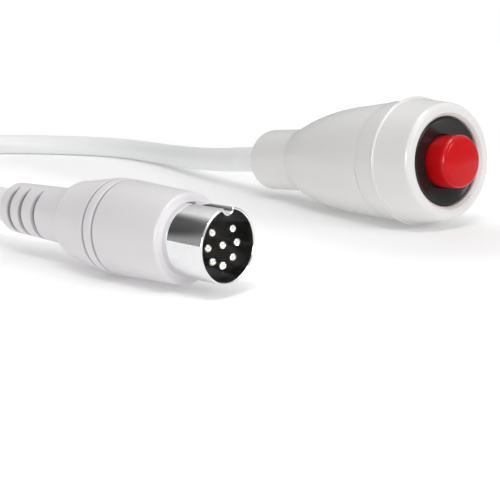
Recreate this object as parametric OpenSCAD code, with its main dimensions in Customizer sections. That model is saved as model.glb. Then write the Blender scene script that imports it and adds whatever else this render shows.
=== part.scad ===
// Hand-held patient call button: a white handset with a red push button, its cord and its round plug.
// The handset lies along X with the button towards +X, and Z is up from the surface it lies on.

/* [Handset shell] */
// Step from the collar's joint out to the shell's surface behind the collar
band_step = 2; // [1.8:0.05:2.3]
// Length of the raised band behind the collar
band_len = 6; // [4:0.5:8]
// Narrowing of the shell from the band to where the shoulder begins
shoulder_drop = 1; // [0.8:0.05:1.2]
// Distance from the face to the beginning of the shoulder
shoulder_at = 27.5; // [25:0.5:29]
// Radius of the long curve of the shoulder
shoulder_curve_r = 75; // [66:1:95]
// Radius of the hollow curve between shoulder and tail
neck_curve_r = 8; // [5:0.5:10]
// Radius of the round tail
tail_r = 8.1; // [7.9:0.05:8.5]
// Length of the round tail behind the neck
tail_len = 14.4; // [13.5:0.1:20]
// Rounding at the end of the tail
tail_round = 2.3; // [1.5:0.1:2.5]

/* [Collar] */
// Length of the collar that screws over the shell
collar_len = 10; // [9:0.5:12]
// Wall of the collar at its rear edge
collar_wall = 2.56; // [2.4:0.02:3]
// Width of the collar's face round the bezel
face_ring_w = 3.2; // [3:0.05:3.6]
// Rounding of the collar's front edge
collar_round = 1.3; // [0.8:0.1:1.5]
// Thickness of the collar's inner wall that carries the switch
panel_t = 2.4; // [2:0.1:3]

/* [Switch] */
// Width of the bezel's flange outside the barrel
bezel_flange_w = 2; // [1.8:0.05:2.2]
// Depth of the bezel's underside below the collar's face
bezel_t = 2.6; // [2.4:0.1:3]
// Wall of the threaded barrel round the button
barrel_wall = 1.95; // [1.8:0.05:2.1]
// Length of the barrel below the bezel
barrel_len = 18; // [17.5:0.5:20]
// Radius of the red button
cap_r = 5.9; // [5.6:0.05:6]
// Height of the button's rim above the collar's face
cap_proud = 4; // [3.6:0.1:4.4]
// Travel of the button
press_travel = 2.5; // [2:0.1:2.6]
// Radius of the plunger stem
stem_r = 2; // [1.8:0.05:2.1]
// Wall of the nut at its flats
nut_wall = 1; // [0.8:0.05:1.3]
// Thickness of the nut
nut_t = 2.8; // [2:0.1:3.2]
// Number of curls of the return spring
spring_curls = 6; // [4:1:7]

/* [Cord] */
// Radius of the cord
cord_r = 3.5; // [3.3:0.05:3.6]
// Radius of the coil's outermost turn, at the cord's centre
coil_outer_r = 49; // [47:0.5:52]
// Distance between neighbouring turns and layers
coil_pitch = 7.5; // [7.5:0.05:7.8]
// Width of each coil tie
tie_w = 9; // [6:0.5:12]

/* [Plug] */
// Length of the plug's moulded grip, with its strain relief
grip_len = 49.5; // [48:0.5:54]
// Radius of the grip at its two ring grooves
grip_r = 8.9; // [8.7:0.05:9.3]
// Width of the grip's front face round the metal shell
grip_lip_w = 1.55; // [1.4:0.05:1.9]
// Outer radius of the metal plug shell
plug_shell_r = 6.6; // [6.5:0.05:6.7]
// Length of the plug shell in front of the grip
plug_shell_len = 9.3; // [8.5:0.1:10]
// Radius of the circle of contact pins
pin_circle_r = 3.5; // [3.3:0.05:3.6]
// Radius of one contact pin
pin_r = 0.725; // [0.6:0.025:0.75]

/* [Hidden] */
$fn = 96;

// Overrun of a cut past the face it leaves
cut = 1;
// Clearance of a part that is held still in another
snug = 0.05;
// Radial clearance of the parts that slide
running = 0.08;

// Rounding at the collar's rear edge
heel_round = 0.5;
// Width of the chamfer round the collar's mouth
mouth_chamfer = 0.7;
// Gap between the bezel and the collar's mouth
mouth_gap = 0.15;
// Radial gap between the barrel and the hole in the collar's wall
panel_hole_gap = 0.15;
// Radial gap in the joint between collar and spigot
joint_gap = 0.1;
// Gap between the front end of the spigot and the collar's inner wall
spigot_gap = 0.2;
// Depth of the bezel's rim below the collar's face
bezel_sunk = 0.8;
// Rounding of the bezel's rim
bezel_round = 0.5;
// Depth of the bezel's dish at the button
dish_depth = 1.6;
// Radial gap between the button and the bezel
cap_gap = 0.15;
// Thickness of the rubber gasket under the bezel
gasket_t = 0.6;
// Width of the gasket's ring
gasket_w = 1.8;
// Thickness of the lock washer
washer_t = 0.8;
// Width of the lock washer's ring, with the gap round the barrel
washer_w = 1.8;
// Width of the lock washer's split
washer_split = 1.2;
// Chamfer on the corners of the nut, along its axis
nut_chamfer = 0.5;
// Room between the nut's corners and the shell, and the wall of the shell's spigot
nut_room = 0.7;
spigot_wall = 1.1;
// Depth and spacing of the thread ridges on the barrel
thread_depth = 0.25;
thread_pitch = 1;

// Shell details: taper of the band, groove behind it, and step down to the cone
band_taper = 0.2;
line_w = 0.35;
line_depth = 0.35;
cone_step = 0.15;
// Inside of the tail: the grommet's walls, the ferrule's pocket and the lip at the tail end
grommet_wall = 1.7;
grommet_lip_wall = 1.1;
pocket_gap = 0.2;
pocket_len = 6;
tail_lip_t = 1.4;
// Distance from the tail end to the step that holds the ferrule
step_to_tail = 14.5;
// Distance from the face to the end of the straight chamber
chamber_end = 29;

// Seal ring in the spigot's groove
seal_groove_w = 1.2;
seal_groove_depth = 0.7;
seal_at = 1.3;
// Free gap on each side of the seal ring
seal_gap = 0.02;

// Button cap: crown height, edge rounding, wall, top thickness, boss and skirt depth
cap_crown = 0.35;
cap_round = 1.2;
cap_wall = 1.2;
cap_top_t = 2.2;
cap_boss_wall = 0.7;
cap_boss_len = 3.6;
cap_depth = 6;
// Gap left under the cap, and above the contacts, with the button fully in
stop_gap = 0.4;
closed_gap = 0.1;
// Guide wall inside the barrel, and the barrel's wall behind it
guide_t = 1.8;
barrel_rear_wall = 1.4;
// Clip under the guide wall
clip_t = 0.6;
clip_w = 2;
clip_groove_depth = 0.5;
clip_gap = 0.2;
clip_mouth = 2.4;
// Distance from the clip to the contact bridge
bridge_drop = 2.2;
bridge_over = 1.6;
bridge_w = 3.2;
bridge_t = 0.5;
bridge_tip_r = 1;
bridge_tip_t = 0.3;
rivet_r = 1.3;
rivet_head_r = 1.9;
rivet_head_t = 0.5;
// Radius of the return spring's wire
spring_wire_r = 0.3;

// Terminals and their base
contact_r = 1.2;
contact_t = 1.2;
contact_inset = 3;
base_rim_inset = 0.3;
base_rim_t = 1.6;
blade_w = 2.4;
blade_t = 0.6;
blade_len = 7.5;
eye_r = 0.6;
eye_margin = 1.3;

// Insulated leads and the shrink sleeves over the solder joints
lead_r = 0.65;
lead_at_cord = 1.1;
lead_overlap = 3;
lead_bend_len = 4;
// Bend of a lead, as pairs: share of its way to the cord, and share of its way to the middle
lead_bend_shares = [[0.2, 0.08], [0.45, 0.4], [0.7, 0.85], [0.85, 1]];
sleeve_bore_r = 1.6;
sleeve_wall = 0.22;
sleeve_len = 6.5;
sleeve_above = 1;

// Ferrule crimped on the cord
ferrule_wall = 0.85;
ferrule_len = 5.4;
ferrule_flange_w = 2.4;
ferrule_flange_t = 1.2;
// Length of cord jacket in front of the ferrule
jacket_ahead = 3;

// Coil: number of turns, ring count of a turn, sides, and the turn on which it climbs
coil_turns = 6.25;
coil_turn_rings = 24;
coil_sides = 6;
coil_centre = [-118, -108];
coil_start_angle = 200;
climb_turns = 0.5;
// Coil ties: strap thickness, play round the turns, corner rounding and places in turns
tie_t = 0.8;
tie_play = 0.15;
tie_round = 3.2;
tie_places = [0.425, 0.825];
tab_t = 0.9;
tab_share = 0.4;
// Turns of one layer that a tie goes round
tie_turns_in = 0.425;
tie_turns_out = 2.825;

// Plug: where the end of its strain relief lies, and where it points
plug_tail = [-6, -86];
plug_heading = 12;

// Route of the cord from the handset to the coil, after its straight start
lead_route = [
    [-62, 1.2, 7],
    [-76, 3.6, 5.8],
    [-92, 6.8, 4.7],
    [-107, 9.2, 3.9],
    [-121, 10, 3.6],
    [-134, 8.8, 3.5],
    [-146, 4.8, 3.5],
    [-157, -1.8, 3.5],
    [-167, -10.4, 3.5],
    [-175.4, -20.6, 3.5],
    [-181.6, -32, 3.5],
    [-185.2, -44.4, 3.5],
    [-185.6, -57, 3.5],
    [-183.4, -70, 3.5],
    [-179.2, -83, 3.6],
    [-174.8, -95.2, 3.9]
];
// Route of the cord from the coil to the plug, before its straight end
run_route = [
    [-77.4, -143.8, 9.6],
    [-68.2, -136, 6.4],
    [-60.8, -126.6, 4.3],
    [-54, -116.8, 3.5],
    [-46.8, -107.4, 3.9],
    [-38.6, -99.4, 5.4],
    [-29.4, -93, 7.5]
];
// Straight length of cord at the handset and at the plug
straight_len = 14;
cord_sides = 10;

// Plug grip: places and sizes of its grooves, steps and curves, from the front
grip_front_round = 0.7;
ring_places = [15.9, 18.5];
ring_groove_w = 0.7;
ring_groove_depth = 0.45;
bulb_r = 7.5;
bulb_at = 28;
bulb_round = 1.8;
relief_wall = 2.1;
relief_end_wall = 1.6;
slot_places = [38.2, 42.6, 46.4];
slot_w = 1.3;
slot_depth = 1.1;
slot_web = 4.4;
// Metal shell: wall, step down to the part inside the grip, that part's length, and keyway
plug_shell_wall = 0.4;
plug_shell_step = 0.2;
plug_shell_inner_len = 9;
key_r = 1.3;
key_wall = 0.3;
// Insert, pins and cage
insert_front = 1.2;
insert_rear = 6.5;
pin_inset = 1;
pin_tail = 8;
pin_step = 45;
cage_ring_len = 3;
cage_ring_wall = 0.75;
cage_arm_w = 2.6;
cage_arm_t = 0.6;
cage_wall_z = 19.5;
cage_wall_t = 0.8;
crimp_len = 4.6;
crimp_wall = 0.6;
sleeve_wall_plug = 1.1;
plug_jacket_z = 17;
plug_lead_r = 0.55;
plug_lead_at_cord = 1.3;

// Plain geometry helpers

// Points of an arc about a centre
function arc(c, r, from, to, steps = 8) =
    [for (i = [0 : steps]) let (a = from + (to - from) * i / steps) c + r * [cos(a), sin(a)]];

// Direction of the normal of the outer tangent of two circles
function tangent_angle(a, ra, b, rb) =
    atan2(b.y - a.y, b.x - a.x) + acos((ra - rb) / norm(b - a));

function unit(v) = v / norm(v);

// Direction of a route at one of its points
function heading(route, i) =
    let (last = len(route) - 1)
    unit(route[min(i + 1, last)] - route[max(i - 1, 0)]);

// One ring of a tube, square to the route, with its directions taken from a reference vector
function ring(c, dir, r, sides, ref) =
    let (e1 = unit(cross(dir, ref)), e2 = cross(dir, e1))
    [for (j = [0 : sides - 1]) let (a = 360 * j / sides) c + r * (cos(a) * e1 + sin(a) * e2)];

// A closed tube of round section along a route, with triangles for faces
module tube(route, r, sides, ref) {
    rings = len(route);
    last = (rings - 1) * sides;
    polyhedron(
        points = [
            for (i = [0 : rings - 1])
                for (p = ring(route[i], heading(route, i), r, sides, ref)) p
        ],
        faces = concat(
            [for (j = [1 : sides - 2]) [0, j, j + 1]],
            [
                for (i = [0 : rings - 2], j = [0 : sides - 1])
                    let (k = (j + 1) % sides, a = i * sides)
                    each [[a + j, a + sides + j, a + sides + k], [a + j, a + sides + k, a + k]]
            ],
            [for (j = [1 : sides - 2]) [last, last + j + 1, last + j]]
        )
    );
}

// Length of a route
function route_len(route, i = 1) =
    i >= len(route) ? 0 : norm(route[i] - route[i - 1]) + route_len(route, i + 1);

// A ring of square section between two radii and two heights
module collar_ring(outer, inner, low, high) {
    difference() {
        translate([0, 0, low]) cylinder(r = outer, h = high - low);
        translate([0, 0, low - cut]) cylinder(r = inner, h = high - low + 2 * cut);
    }
}

// Radii of the handset, from the button outwards
barrel_r = cap_r + cap_gap + barrel_wall;
barrel_bore_r = barrel_r - barrel_rear_wall;
bezel_r = barrel_r + bezel_flange_w;
nut_af = 2 * (barrel_r + nut_wall);
chamber_r = nut_af / 2 / cos(30) + nut_room;
spigot_r = chamber_r + spigot_wall;
joint_r = spigot_r + joint_gap;
collar_rear_r = joint_r + collar_wall;
collar_front_r = bezel_r + face_ring_w;
band_r = spigot_r + band_step;
shoulder_r = band_r - shoulder_drop;
contact_spread = barrel_bore_r - contact_inset;
spring_r = (cap_r - cap_wall + stem_r + cap_boss_wall) / 2;
// Radii inside the tail, from the cord outwards
tail_hole_r = cord_r + grommet_lip_wall;
grommet_r = cord_r + grommet_wall;
ferrule_flange_r = cord_r + ferrule_flange_w;
pocket_r = ferrule_flange_r + pocket_gap;

// Outline of the collar, from its mouth over the front face to its rear edge
mouth_r = bezel_r + mouth_gap;
front_c = [collar_front_r - collar_round, -collar_round];
heel_c = [collar_rear_r - heel_round, heel_round - collar_len];
collar_slope = tangent_angle(front_c, collar_round, heel_c, heel_round);
collar_outline = concat(
    [[mouth_r + mouth_chamfer, 0]],
    arc(front_c, collar_round, 90, collar_slope),
    arc(heel_c, heel_round, collar_slope, -90, 6)
);

// Outline of the shell behind the collar, to the end of the tail
band_end = collar_len + band_len;
cone_start_r = band_r - band_taper - cone_step;
cone_slope = atan2(cone_start_r - shoulder_r, shoulder_at - band_end - line_w);
shoulder_c = [
    shoulder_r - shoulder_curve_r * cos(cone_slope),
    -shoulder_at + shoulder_curve_r * sin(cone_slope)
];
neck_turn = acos((tail_r + neck_curve_r - shoulder_c.x) / (shoulder_curve_r + neck_curve_r));
neck_c = shoulder_c + (shoulder_curve_r + neck_curve_r) * [cos(neck_turn), -sin(neck_turn)];
handset_len = tail_len - neck_c.y;
tail_c = [tail_r - tail_round, tail_round - handset_len];
bell_outline = concat(
    [[cone_start_r, -band_end - line_w]],
    arc(shoulder_c, shoulder_curve_r, -cone_slope, -neck_turn, 16),
    arc(neck_c, neck_curve_r, 180 - neck_turn, 180, 6)
);
shell_outline = concat(
    [
        [band_r, -collar_len],
        [band_r - band_taper, -band_end],
        [band_r - band_taper - line_depth, -band_end]
    ],
    bell_outline,
    arc(tail_c, tail_round, 0, -90)
);

// How the handset lies: on the collar's rear edge and on the belly of the shell
tilt = min([for (p = bell_outline) atan2(collar_rear_r - p.x, heel_c.y - p.y)]);
lift = max([
    for (p = concat(collar_outline, shell_outline)) p.x * cos(tilt) - p.y * sin(tilt)
]);

// Button cap in its own outline, from the crown's centre to its edge
cap_c = [cap_r - cap_round, cap_proud - cap_round];
crown_r = (cap_c.x * cap_c.x + cap_crown * cap_crown) / (2 * cap_crown);
crown_turn = asin(cap_c.x / crown_r);
cap_face = concat(
    arc([0, cap_proud + cap_crown - crown_r], crown_r, 90, 90 - crown_turn, 6),
    arc(cap_c, cap_round, 90 - crown_turn, 0, 6)
);

// Place of the collar's face along X, so that the handset is centred over the origin
front_reach = max([for (p = cap_face) p.y * cos(tilt) + p.x * sin(tilt)]);
rear_reach = min([for (p = shell_outline) p.y * cos(tilt) - p.x * sin(tilt)]);
face_x = -(front_reach + rear_reach) / 2;

module on_handset() {
    translate([face_x, 0, lift]) rotate([0, 90 - tilt, 0]) children();
}

// Heights along the handset's axis, from the face
panel_front = -bezel_t - gasket_t;
panel_rear = panel_front - panel_t;
spigot_front = panel_rear - spigot_gap;
barrel_end = -bezel_t - barrel_len;
guide_top = -cap_depth - press_travel - stop_gap;
guide_bottom = guide_top - guide_t;
clip_top = guide_bottom - clip_gap;
bridge_top = clip_top - clip_t - bridge_drop;
bridge_bottom = bridge_top - bridge_t;
contact_top = bridge_bottom - bridge_tip_t - press_travel - closed_gap;
base_top = contact_top - contact_t;
base_bottom = barrel_end - base_rim_t;
blade_end = base_bottom - blade_len;
step_z = step_to_tail - handset_len;
ferrule_front = step_z + ferrule_len;
jacket_end = ferrule_front + jacket_ahead;

module front_collar() {
    color("white") on_handset() rotate_extrude() polygon(concat(
        collar_outline,
        [
            [joint_r, -collar_len],
            [joint_r, panel_rear],
            [barrel_r + panel_hole_gap, panel_rear],
            [barrel_r + panel_hole_gap, panel_front],
            [mouth_r, panel_front],
            [mouth_r, -mouth_chamfer]
        ]
    ));
}

module body_shell() {
    color("white") on_handset() rotate_extrude() polygon(concat(
        shell_outline,
        [
            [tail_hole_r, -handset_len],
            [tail_hole_r, tail_lip_t - handset_len],
            [grommet_r, tail_lip_t - handset_len],
            [grommet_r, step_z],
            [pocket_r, step_z],
            [pocket_r, step_z + pocket_len],
            [chamber_r, -chamber_end],
            [chamber_r, spigot_front],
            [spigot_r, spigot_front],
            [spigot_r, seal_at + seal_groove_w - collar_len],
            [spigot_r - seal_groove_depth, seal_at + seal_groove_w - collar_len],
            [spigot_r - seal_groove_depth, seal_at - collar_len],
            [spigot_r, seal_at - collar_len],
            [spigot_r, -collar_len]
        ]
    ));
}

module collar_seal() {
    floor_r = spigot_r - seal_groove_depth;
    ring_r = (joint_r - floor_r) / 2 - seal_gap;
    color("dimgray") on_handset()
        translate([0, 0, seal_at + seal_groove_w / 2 - collar_len])
        rotate_extrude() translate([(joint_r + floor_r) / 2, 0]) circle(r = ring_r, $fn = 32);
}

// Ridges of the barrel's thread, as points from the front to the rear
function thread_points(from, to) = [
    for (i = [0 : floor((from - to) / thread_pitch) - 1])
        each [
            [barrel_r, from - i * thread_pitch],
            [barrel_r - thread_depth, from - (i + 1 / 2) * thread_pitch]
        ]
];

module bezel_barrel() {
    rim_c = [bezel_r - bezel_round, -bezel_sunk - bezel_round];
    bore_r = cap_r + cap_gap;
    inner_c = [rim_c.x - bezel_round, rim_c.y];
    color([0.13, 0.13, 0.14]) on_handset() rotate_extrude() polygon(concat(
        arc(rim_c, bezel_round, 130, 0, 6),
        [
            [bezel_r, -bezel_t],
            [barrel_r, -bezel_t]
        ],
        thread_points(panel_rear, barrel_end),
        [
            [barrel_r - thread_depth, barrel_end],
            [barrel_bore_r, barrel_end],
            [barrel_bore_r, guide_bottom],
            [stem_r + running, guide_bottom],
            [stem_r + running, guide_top],
            [bore_r, guide_top],
            [bore_r, -dish_depth]
        ]
    ));
}

module bezel_gasket() {
    inner_r = barrel_r + panel_hole_gap;
    color("dimgray") on_handset()
        collar_ring(min(inner_r + gasket_w, bezel_r), inner_r, panel_front, -bezel_t);
}

module lock_washer() {
    low = panel_rear - washer_t;
    inner_r = barrel_r + panel_hole_gap;
    color("silver") on_handset() difference() {
        collar_ring(barrel_r + washer_w, inner_r, low, panel_rear);
        translate([inner_r - cut, -washer_split / 2, low - cut])
            cube([washer_w + 2 * cut, washer_split, washer_t + 2 * cut]);
    }
}

module hex_nut() {
    high = panel_rear - washer_t;
    corner_r = nut_af / 2 / cos(30);
    color("silver") on_handset() difference() {
        intersection() {
            translate([0, 0, high - nut_t]) cylinder(r = corner_r, h = nut_t, $fn = 6);
            rotate_extrude() polygon([
                [0, high - nut_t],
                [nut_af / 2, high - nut_t],
                [corner_r + nut_chamfer, high - nut_t + 2 * nut_chamfer],
                [corner_r + nut_chamfer, high - 2 * nut_chamfer],
                [nut_af / 2, high],
                [0, high]
            ]);
        }
        translate([0, 0, high - nut_t - cut]) cylinder(r = barrel_r + snug, h = nut_t + 2 * cut);
    }
}

module button_cap() {
    inner_r = cap_r - cap_wall;
    under = cap_proud - cap_top_t;
    boss_r = stem_r + cap_boss_wall;
    color([0.8, 0.08, 0.1]) on_handset() rotate_extrude() polygon(concat(
        cap_face,
        [
            [cap_r, -cap_depth],
            [inner_r, -cap_depth],
            [inner_r, under],
            [boss_r, under],
            [boss_r, under - cap_boss_len],
            [stem_r + snug, under - cap_boss_len],
            [stem_r + snug, under],
            [0, under]
        ]
    ));
}

module plunger_stem() {
    neck_r = stem_r - clip_groove_depth;
    top = cap_proud - cap_top_t - snug;
    head_top = bridge_bottom - snug;
    color("ivory") on_handset() rotate_extrude() polygon([
        [0, top],
        [stem_r, top],
        [stem_r, clip_top + snug],
        [neck_r, clip_top + snug],
        [neck_r, clip_top - clip_t - snug],
        [stem_r, clip_top - clip_t - snug],
        [stem_r, bridge_top + snug],
        [rivet_r, bridge_top + snug],
        [rivet_r, head_top],
        [rivet_head_r, head_top],
        [rivet_head_r, head_top - rivet_head_t],
        [0, head_top - rivet_head_t]
    ]);
}

module stem_clip() {
    inner_r = stem_r - clip_groove_depth + snug;
    clip_r = stem_r + clip_w;
    color("silver") on_handset() difference() {
        collar_ring(clip_r, inner_r, clip_top - clip_t, clip_top);
        translate([0, -clip_mouth / 2, clip_top - clip_t - cut])
            cube([clip_r + cut, clip_mouth, clip_t + 2 * cut]);
    }
}

// Centre line of the return spring, from the guide wall up to the underside of the cap
spring_rings = 8;
spring_low = guide_top + spring_wire_r + snug;
spring_high = cap_proud - cap_top_t - spring_wire_r - snug;
spring_line = [
    for (i = [0 : spring_curls * spring_rings])
        let (a = 360 * i / spring_rings)
        [
            spring_r * cos(a),
            spring_r * sin(a),
            spring_low + (spring_high - spring_low) * i / (spring_curls * spring_rings)
        ]
];
echo(spring_gap = (spring_high - spring_low) / spring_curls - 2 * spring_wire_r);

module return_spring() {
    color("silver") on_handset() tube(spring_line, spring_wire_r, 6, [0, 0, 1]);
}

module contact_bridge() {
    bridge_len = 2 * (contact_spread + bridge_over);
    color([0.83, 0.65, 0.35]) on_handset() difference() {
        union() {
            intersection() {
                translate([-bridge_w / 2, -bridge_len / 2, bridge_bottom])
                    cube([bridge_w, bridge_len, bridge_t]);
                translate([0, 0, bridge_bottom]) cylinder(d = bridge_len, h = bridge_t);
            }
            for (side = [-1, 1])
                translate([0, side * contact_spread, bridge_bottom - bridge_tip_t])
                    cylinder(r = bridge_tip_r, h = bridge_tip_t + bridge_t / 2, $fn = 32);
        }
        translate([0, 0, bridge_bottom - cut])
            cylinder(r = rivet_r + snug, h = bridge_t + 2 * cut, $fn = 32);
    }
}

module terminal_base() {
    color([0.35, 0.2, 0.12]) on_handset() difference() {
        union() {
            translate([0, 0, barrel_end])
                cylinder(r = barrel_bore_r - snug, h = base_top - barrel_end);
            translate([0, 0, base_bottom])
                cylinder(r = barrel_r - base_rim_inset, h = base_rim_t);
        }
        for (side = [-1, 1])
            translate([
                -blade_w / 2 - snug,
                side * contact_spread - blade_t / 2 - snug,
                base_bottom - cut
            ])
                cube([blade_w + 2 * snug, blade_t + 2 * snug, base_top - base_bottom + 2 * cut]);
    }
}

module solder_terminals() {
    color([0.85, 0.8, 0.6]) on_handset() for (side = [-1, 1]) difference() {
        union() {
            translate([0, side * contact_spread, base_top + snug])
                cylinder(r = contact_r, h = contact_t - snug, $fn = 48);
            translate([-blade_w / 2, side * contact_spread - blade_t / 2, blade_end])
                cube([blade_w, blade_t, base_top + contact_t / 2 - blade_end]);
        }
        translate([0, side * contact_spread, blade_end + eye_margin])
            rotate([90, 0, 0]) cylinder(r = eye_r, h = 2 * blade_w, center = true, $fn = 32);
    }
}

// Route of one insulated lead, from beside its terminal to the end of the cord's jacket
lead_offset = contact_spread - blade_t / 2 - lead_r - snug;
lead_top = blade_end + lead_overlap;
sleeve_low = lead_top + sleeve_above - sleeve_len;
function lead_line(side) = concat(
    [[0, side * lead_offset, lead_top], [0, side * lead_offset, sleeve_low]],
    [for (s = lead_bend_shares) [
        0,
        side * (lead_offset + (lead_at_cord - lead_offset) * s[1]),
        sleeve_low + (jacket_end - sleeve_low) * s[0]
    ]],
    [[0, side * lead_at_cord, jacket_end + snug]]
);

module lead_red() {
    color("firebrick") on_handset() tube(lead_line(1), lead_r, 8, [1, 0, 0]);
}

module lead_white() {
    color("whitesmoke") on_handset() tube(lead_line(-1), lead_r, 8, [1, 0, 0]);
}

module shrink_sleeves() {
    middle = (contact_spread + blade_t / 2 + lead_offset - lead_r) / 2;
    color([0.2, 0.2, 0.22]) on_handset() for (side = [-1, 1])
        translate([0, side * middle, 0])
            collar_ring(
                sleeve_bore_r + sleeve_wall,
                sleeve_bore_r,
                sleeve_low,
                sleeve_low + sleeve_len
            );
}

module cord_ferrule() {
    outer_r = cord_r + snug + ferrule_wall;
    color("goldenrod") on_handset() difference() {
        union() {
            translate([0, 0, step_z]) cylinder(r = outer_r, h = ferrule_len);
            translate([0, 0, step_z]) cylinder(r = ferrule_flange_r, h = ferrule_flange_t);
        }
        translate([0, 0, step_z - cut]) cylinder(r = cord_r + snug, h = ferrule_len + 2 * cut);
    }
}

module cord_grommet() {
    lip = tail_lip_t - handset_len;
    color("gainsboro") on_handset() rotate_extrude() polygon([
        [cord_r + snug, -handset_len],
        [tail_hole_r - snug, -handset_len],
        [tail_hole_r - snug, lip + snug],
        [grommet_r - snug, lip + snug],
        [grommet_r - snug, step_z - snug],
        [cord_r + snug, step_z - snug]
    ]);
}

module cord_inner_end() {
    color("whitesmoke") on_handset()
        translate([0, 0, -handset_len]) cylinder(r = cord_r, h = jacket_end + handset_len);
}

// Free cord, in the frame of the surface that the object lies on
exit_point = [face_x - handset_len * cos(tilt), 0, lift - handset_len * sin(tilt)];
exit_dir = [-cos(tilt), 0, -sin(tilt)];
coil_low = tie_t + tie_play + cord_r;
coil_high = coil_low + coil_pitch;

// Radius and height of the coil after a number of turns
function coil_radius(t) = coil_outer_r - coil_pitch * min(t, coil_turns - t);
function coil_height(t) =
    let (share = (t - coil_turns / 2) / climb_turns + 1 / 2)
    coil_low + (coil_high - coil_low) * (1 - cos(180 * max(0, min(1, share)))) / 2;
function coil_point(t) =
    let (a = coil_start_angle + 360 * t)
    [
        coil_centre.x + coil_radius(t) * cos(a),
        coil_centre.y + coil_radius(t) * sin(a),
        coil_height(t)
    ];
function coil_dir(t) =
    let (a = coil_start_angle + 360 * t + 90) [cos(a), sin(a), 0];

coil_steps = round(coil_turns * coil_turn_rings);
coil_turn_points = [for (i = [0 : coil_steps]) coil_point(i / coil_turn_rings)];
coil_start = coil_point(0) - 2 * cord_r * coil_dir(0);
coil_finish = coil_point(coil_turns) + 2 * cord_r * coil_dir(coil_turns);
coil_line = concat([coil_start], coil_turn_points, [coil_finish]);
coil_gap = min([
    for (i = [0 : coil_steps], j = [i + coil_turn_rings / 2 : coil_steps])
        norm(coil_turn_points[i] - coil_turn_points[j])
]) - 2 * cord_r;
echo(coil_gap = coil_gap);

lead_line_all = concat(
    [exit_point, exit_point + straight_len * exit_dir],
    lead_route,
    [coil_start - straight_len / 2 * coil_dir(0), coil_start]
);

module cord_lead() {
    color("whitesmoke") tube(lead_line_all, cord_r, cord_sides, [0, 0, 1]);
}

module cord_coil() {
    color("whitesmoke") tube(coil_line, cord_r, coil_sides, [0, 0, 1]);
}

// Strap section of a tie: a rounded frame in the plane of the coil's radius and its height
function rounded_box(low, high, r) = concat(
    arc([high.x - r, high.y - r], r, 0, 90, 4),
    arc([low.x + r, high.y - r], r, 90, 180, 4),
    arc([low.x + r, low.y + r], r, 180, 270, 4),
    arc([high.x - r, low.y + r], r, 270, 360, 4)
);

module coil_ties() {
    bow_r = coil_outer_r - coil_pitch * tie_turns_out;
    chord_bow = bow_r * (1 - cos(180 / coil_turn_rings));
    bow = tie_w * (tie_w / 2 + coil_pitch / PI) / 4 / bow_r + chord_bow;
    inner = [bow_r - bow - cord_r - tie_play, tie_t];
    outer = [coil_outer_r - coil_pitch * tie_turns_in + cord_r + tie_play,
        coil_high + cord_r + tie_play];
    wall = [tie_t, tie_t];
    color([0.2, 0.2, 0.22]) translate([coil_centre.x, coil_centre.y, 0]) for (place = tie_places)
        rotate([0, 0, coil_start_angle + 360 * place]) rotate([90, 0, 0])
            translate([0, 0, -tie_w / 2]) linear_extrude(height = tie_w) union() {
                difference() {
                    polygon(rounded_box(inner - wall, outer + wall, tie_round + tie_t));
                    polygon(rounded_box(inner, outer, tie_round));
                }
                translate([outer.x - tab_share * (outer.x - inner.x), outer.y + tie_t / 2])
                    square([tab_share * (outer.x - inner.x) - tie_round, tab_t + tie_t / 2]);
            }
}

// Plug, pointing along its heading and lying on the widest part of its grip
plug_dir = [cos(plug_heading), sin(plug_heading), 0];
plug_end = [plug_tail.x, plug_tail.y, grip_r];

module on_plug() {
    translate(plug_end + grip_len * plug_dir) rotate([0, 90, plug_heading]) children();
}

run_line = concat(
    [coil_finish, coil_finish + straight_len / 2 * coil_dir(coil_turns)],
    run_route,
    [plug_end - straight_len * plug_dir, plug_end]
);
echo(lead_len = route_len(lead_line_all), coil_len = route_len(coil_line));
echo(run_len = route_len(run_line));

module cord_run() {
    color("whitesmoke") tube(run_line, cord_r, cord_sides, [0, 0, 1]);
}

// Profile of the grip's cavity: shell, cage, crimp and cord
shell_seat_r = plug_shell_r - plug_shell_step;
relief_r = cord_r + relief_wall;
relief_end_r = cord_r + relief_end_wall;
cage_r = plug_shell_r - plug_shell_wall - snug;
crimp_r = cord_r + snug + crimp_wall;
cage_end = -cage_wall_z - cage_wall_t;
crimp_end = cage_end - crimp_len;

module plug_grip() {
    front_c = [plug_shell_r + grip_lip_w - grip_front_round, -grip_front_round];
    bulb_c = [bulb_r - bulb_round, -bulb_at];
    slope = tangent_angle(front_c, grip_front_round, [grip_r, -ring_places[0]], 0);
    color("whitesmoke") on_plug() difference() {
        rotate_extrude() polygon(concat(
            [[shell_seat_r + snug, 0]],
            arc(front_c, grip_front_round, 90, slope, 6),
            [for (place = ring_places) each [
                [grip_r, -place + ring_groove_w / 2],
                [grip_r - ring_groove_depth, -place + ring_groove_w / 4],
                [grip_r - ring_groove_depth, -place - ring_groove_w / 4],
                [grip_r, -place - ring_groove_w / 2]
            ]],
            arc(bulb_c, bulb_round, 10, -60, 6),
            [
                [relief_r, bulb_c.y - bulb_round],
                [relief_end_r, snug - grip_len],
                [relief_end_r, -grip_len],
                [cord_r + snug, -grip_len],
                [cord_r + snug, crimp_end - snug],
                [crimp_r + snug, crimp_end - snug],
                [crimp_r + snug, cage_end - snug],
                [shell_seat_r + snug, cage_end - snug]
            ]
        ));
        for (place = slot_places, side = [-1, 1])
            intersection() {
                collar_ring(
                    relief_r + cut,
                    relief_r - slot_depth,
                    -place - slot_w / 2,
                    -place + slot_w / 2
                );
                translate([-relief_r - cut, side > 0 ? slot_web / 2 : -relief_r - 2 * cut, -place - slot_w])
                    cube([2 * relief_r + 2 * cut, relief_r + 2 * cut - slot_web / 2, 2 * slot_w]);
            }
    }
}

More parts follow.
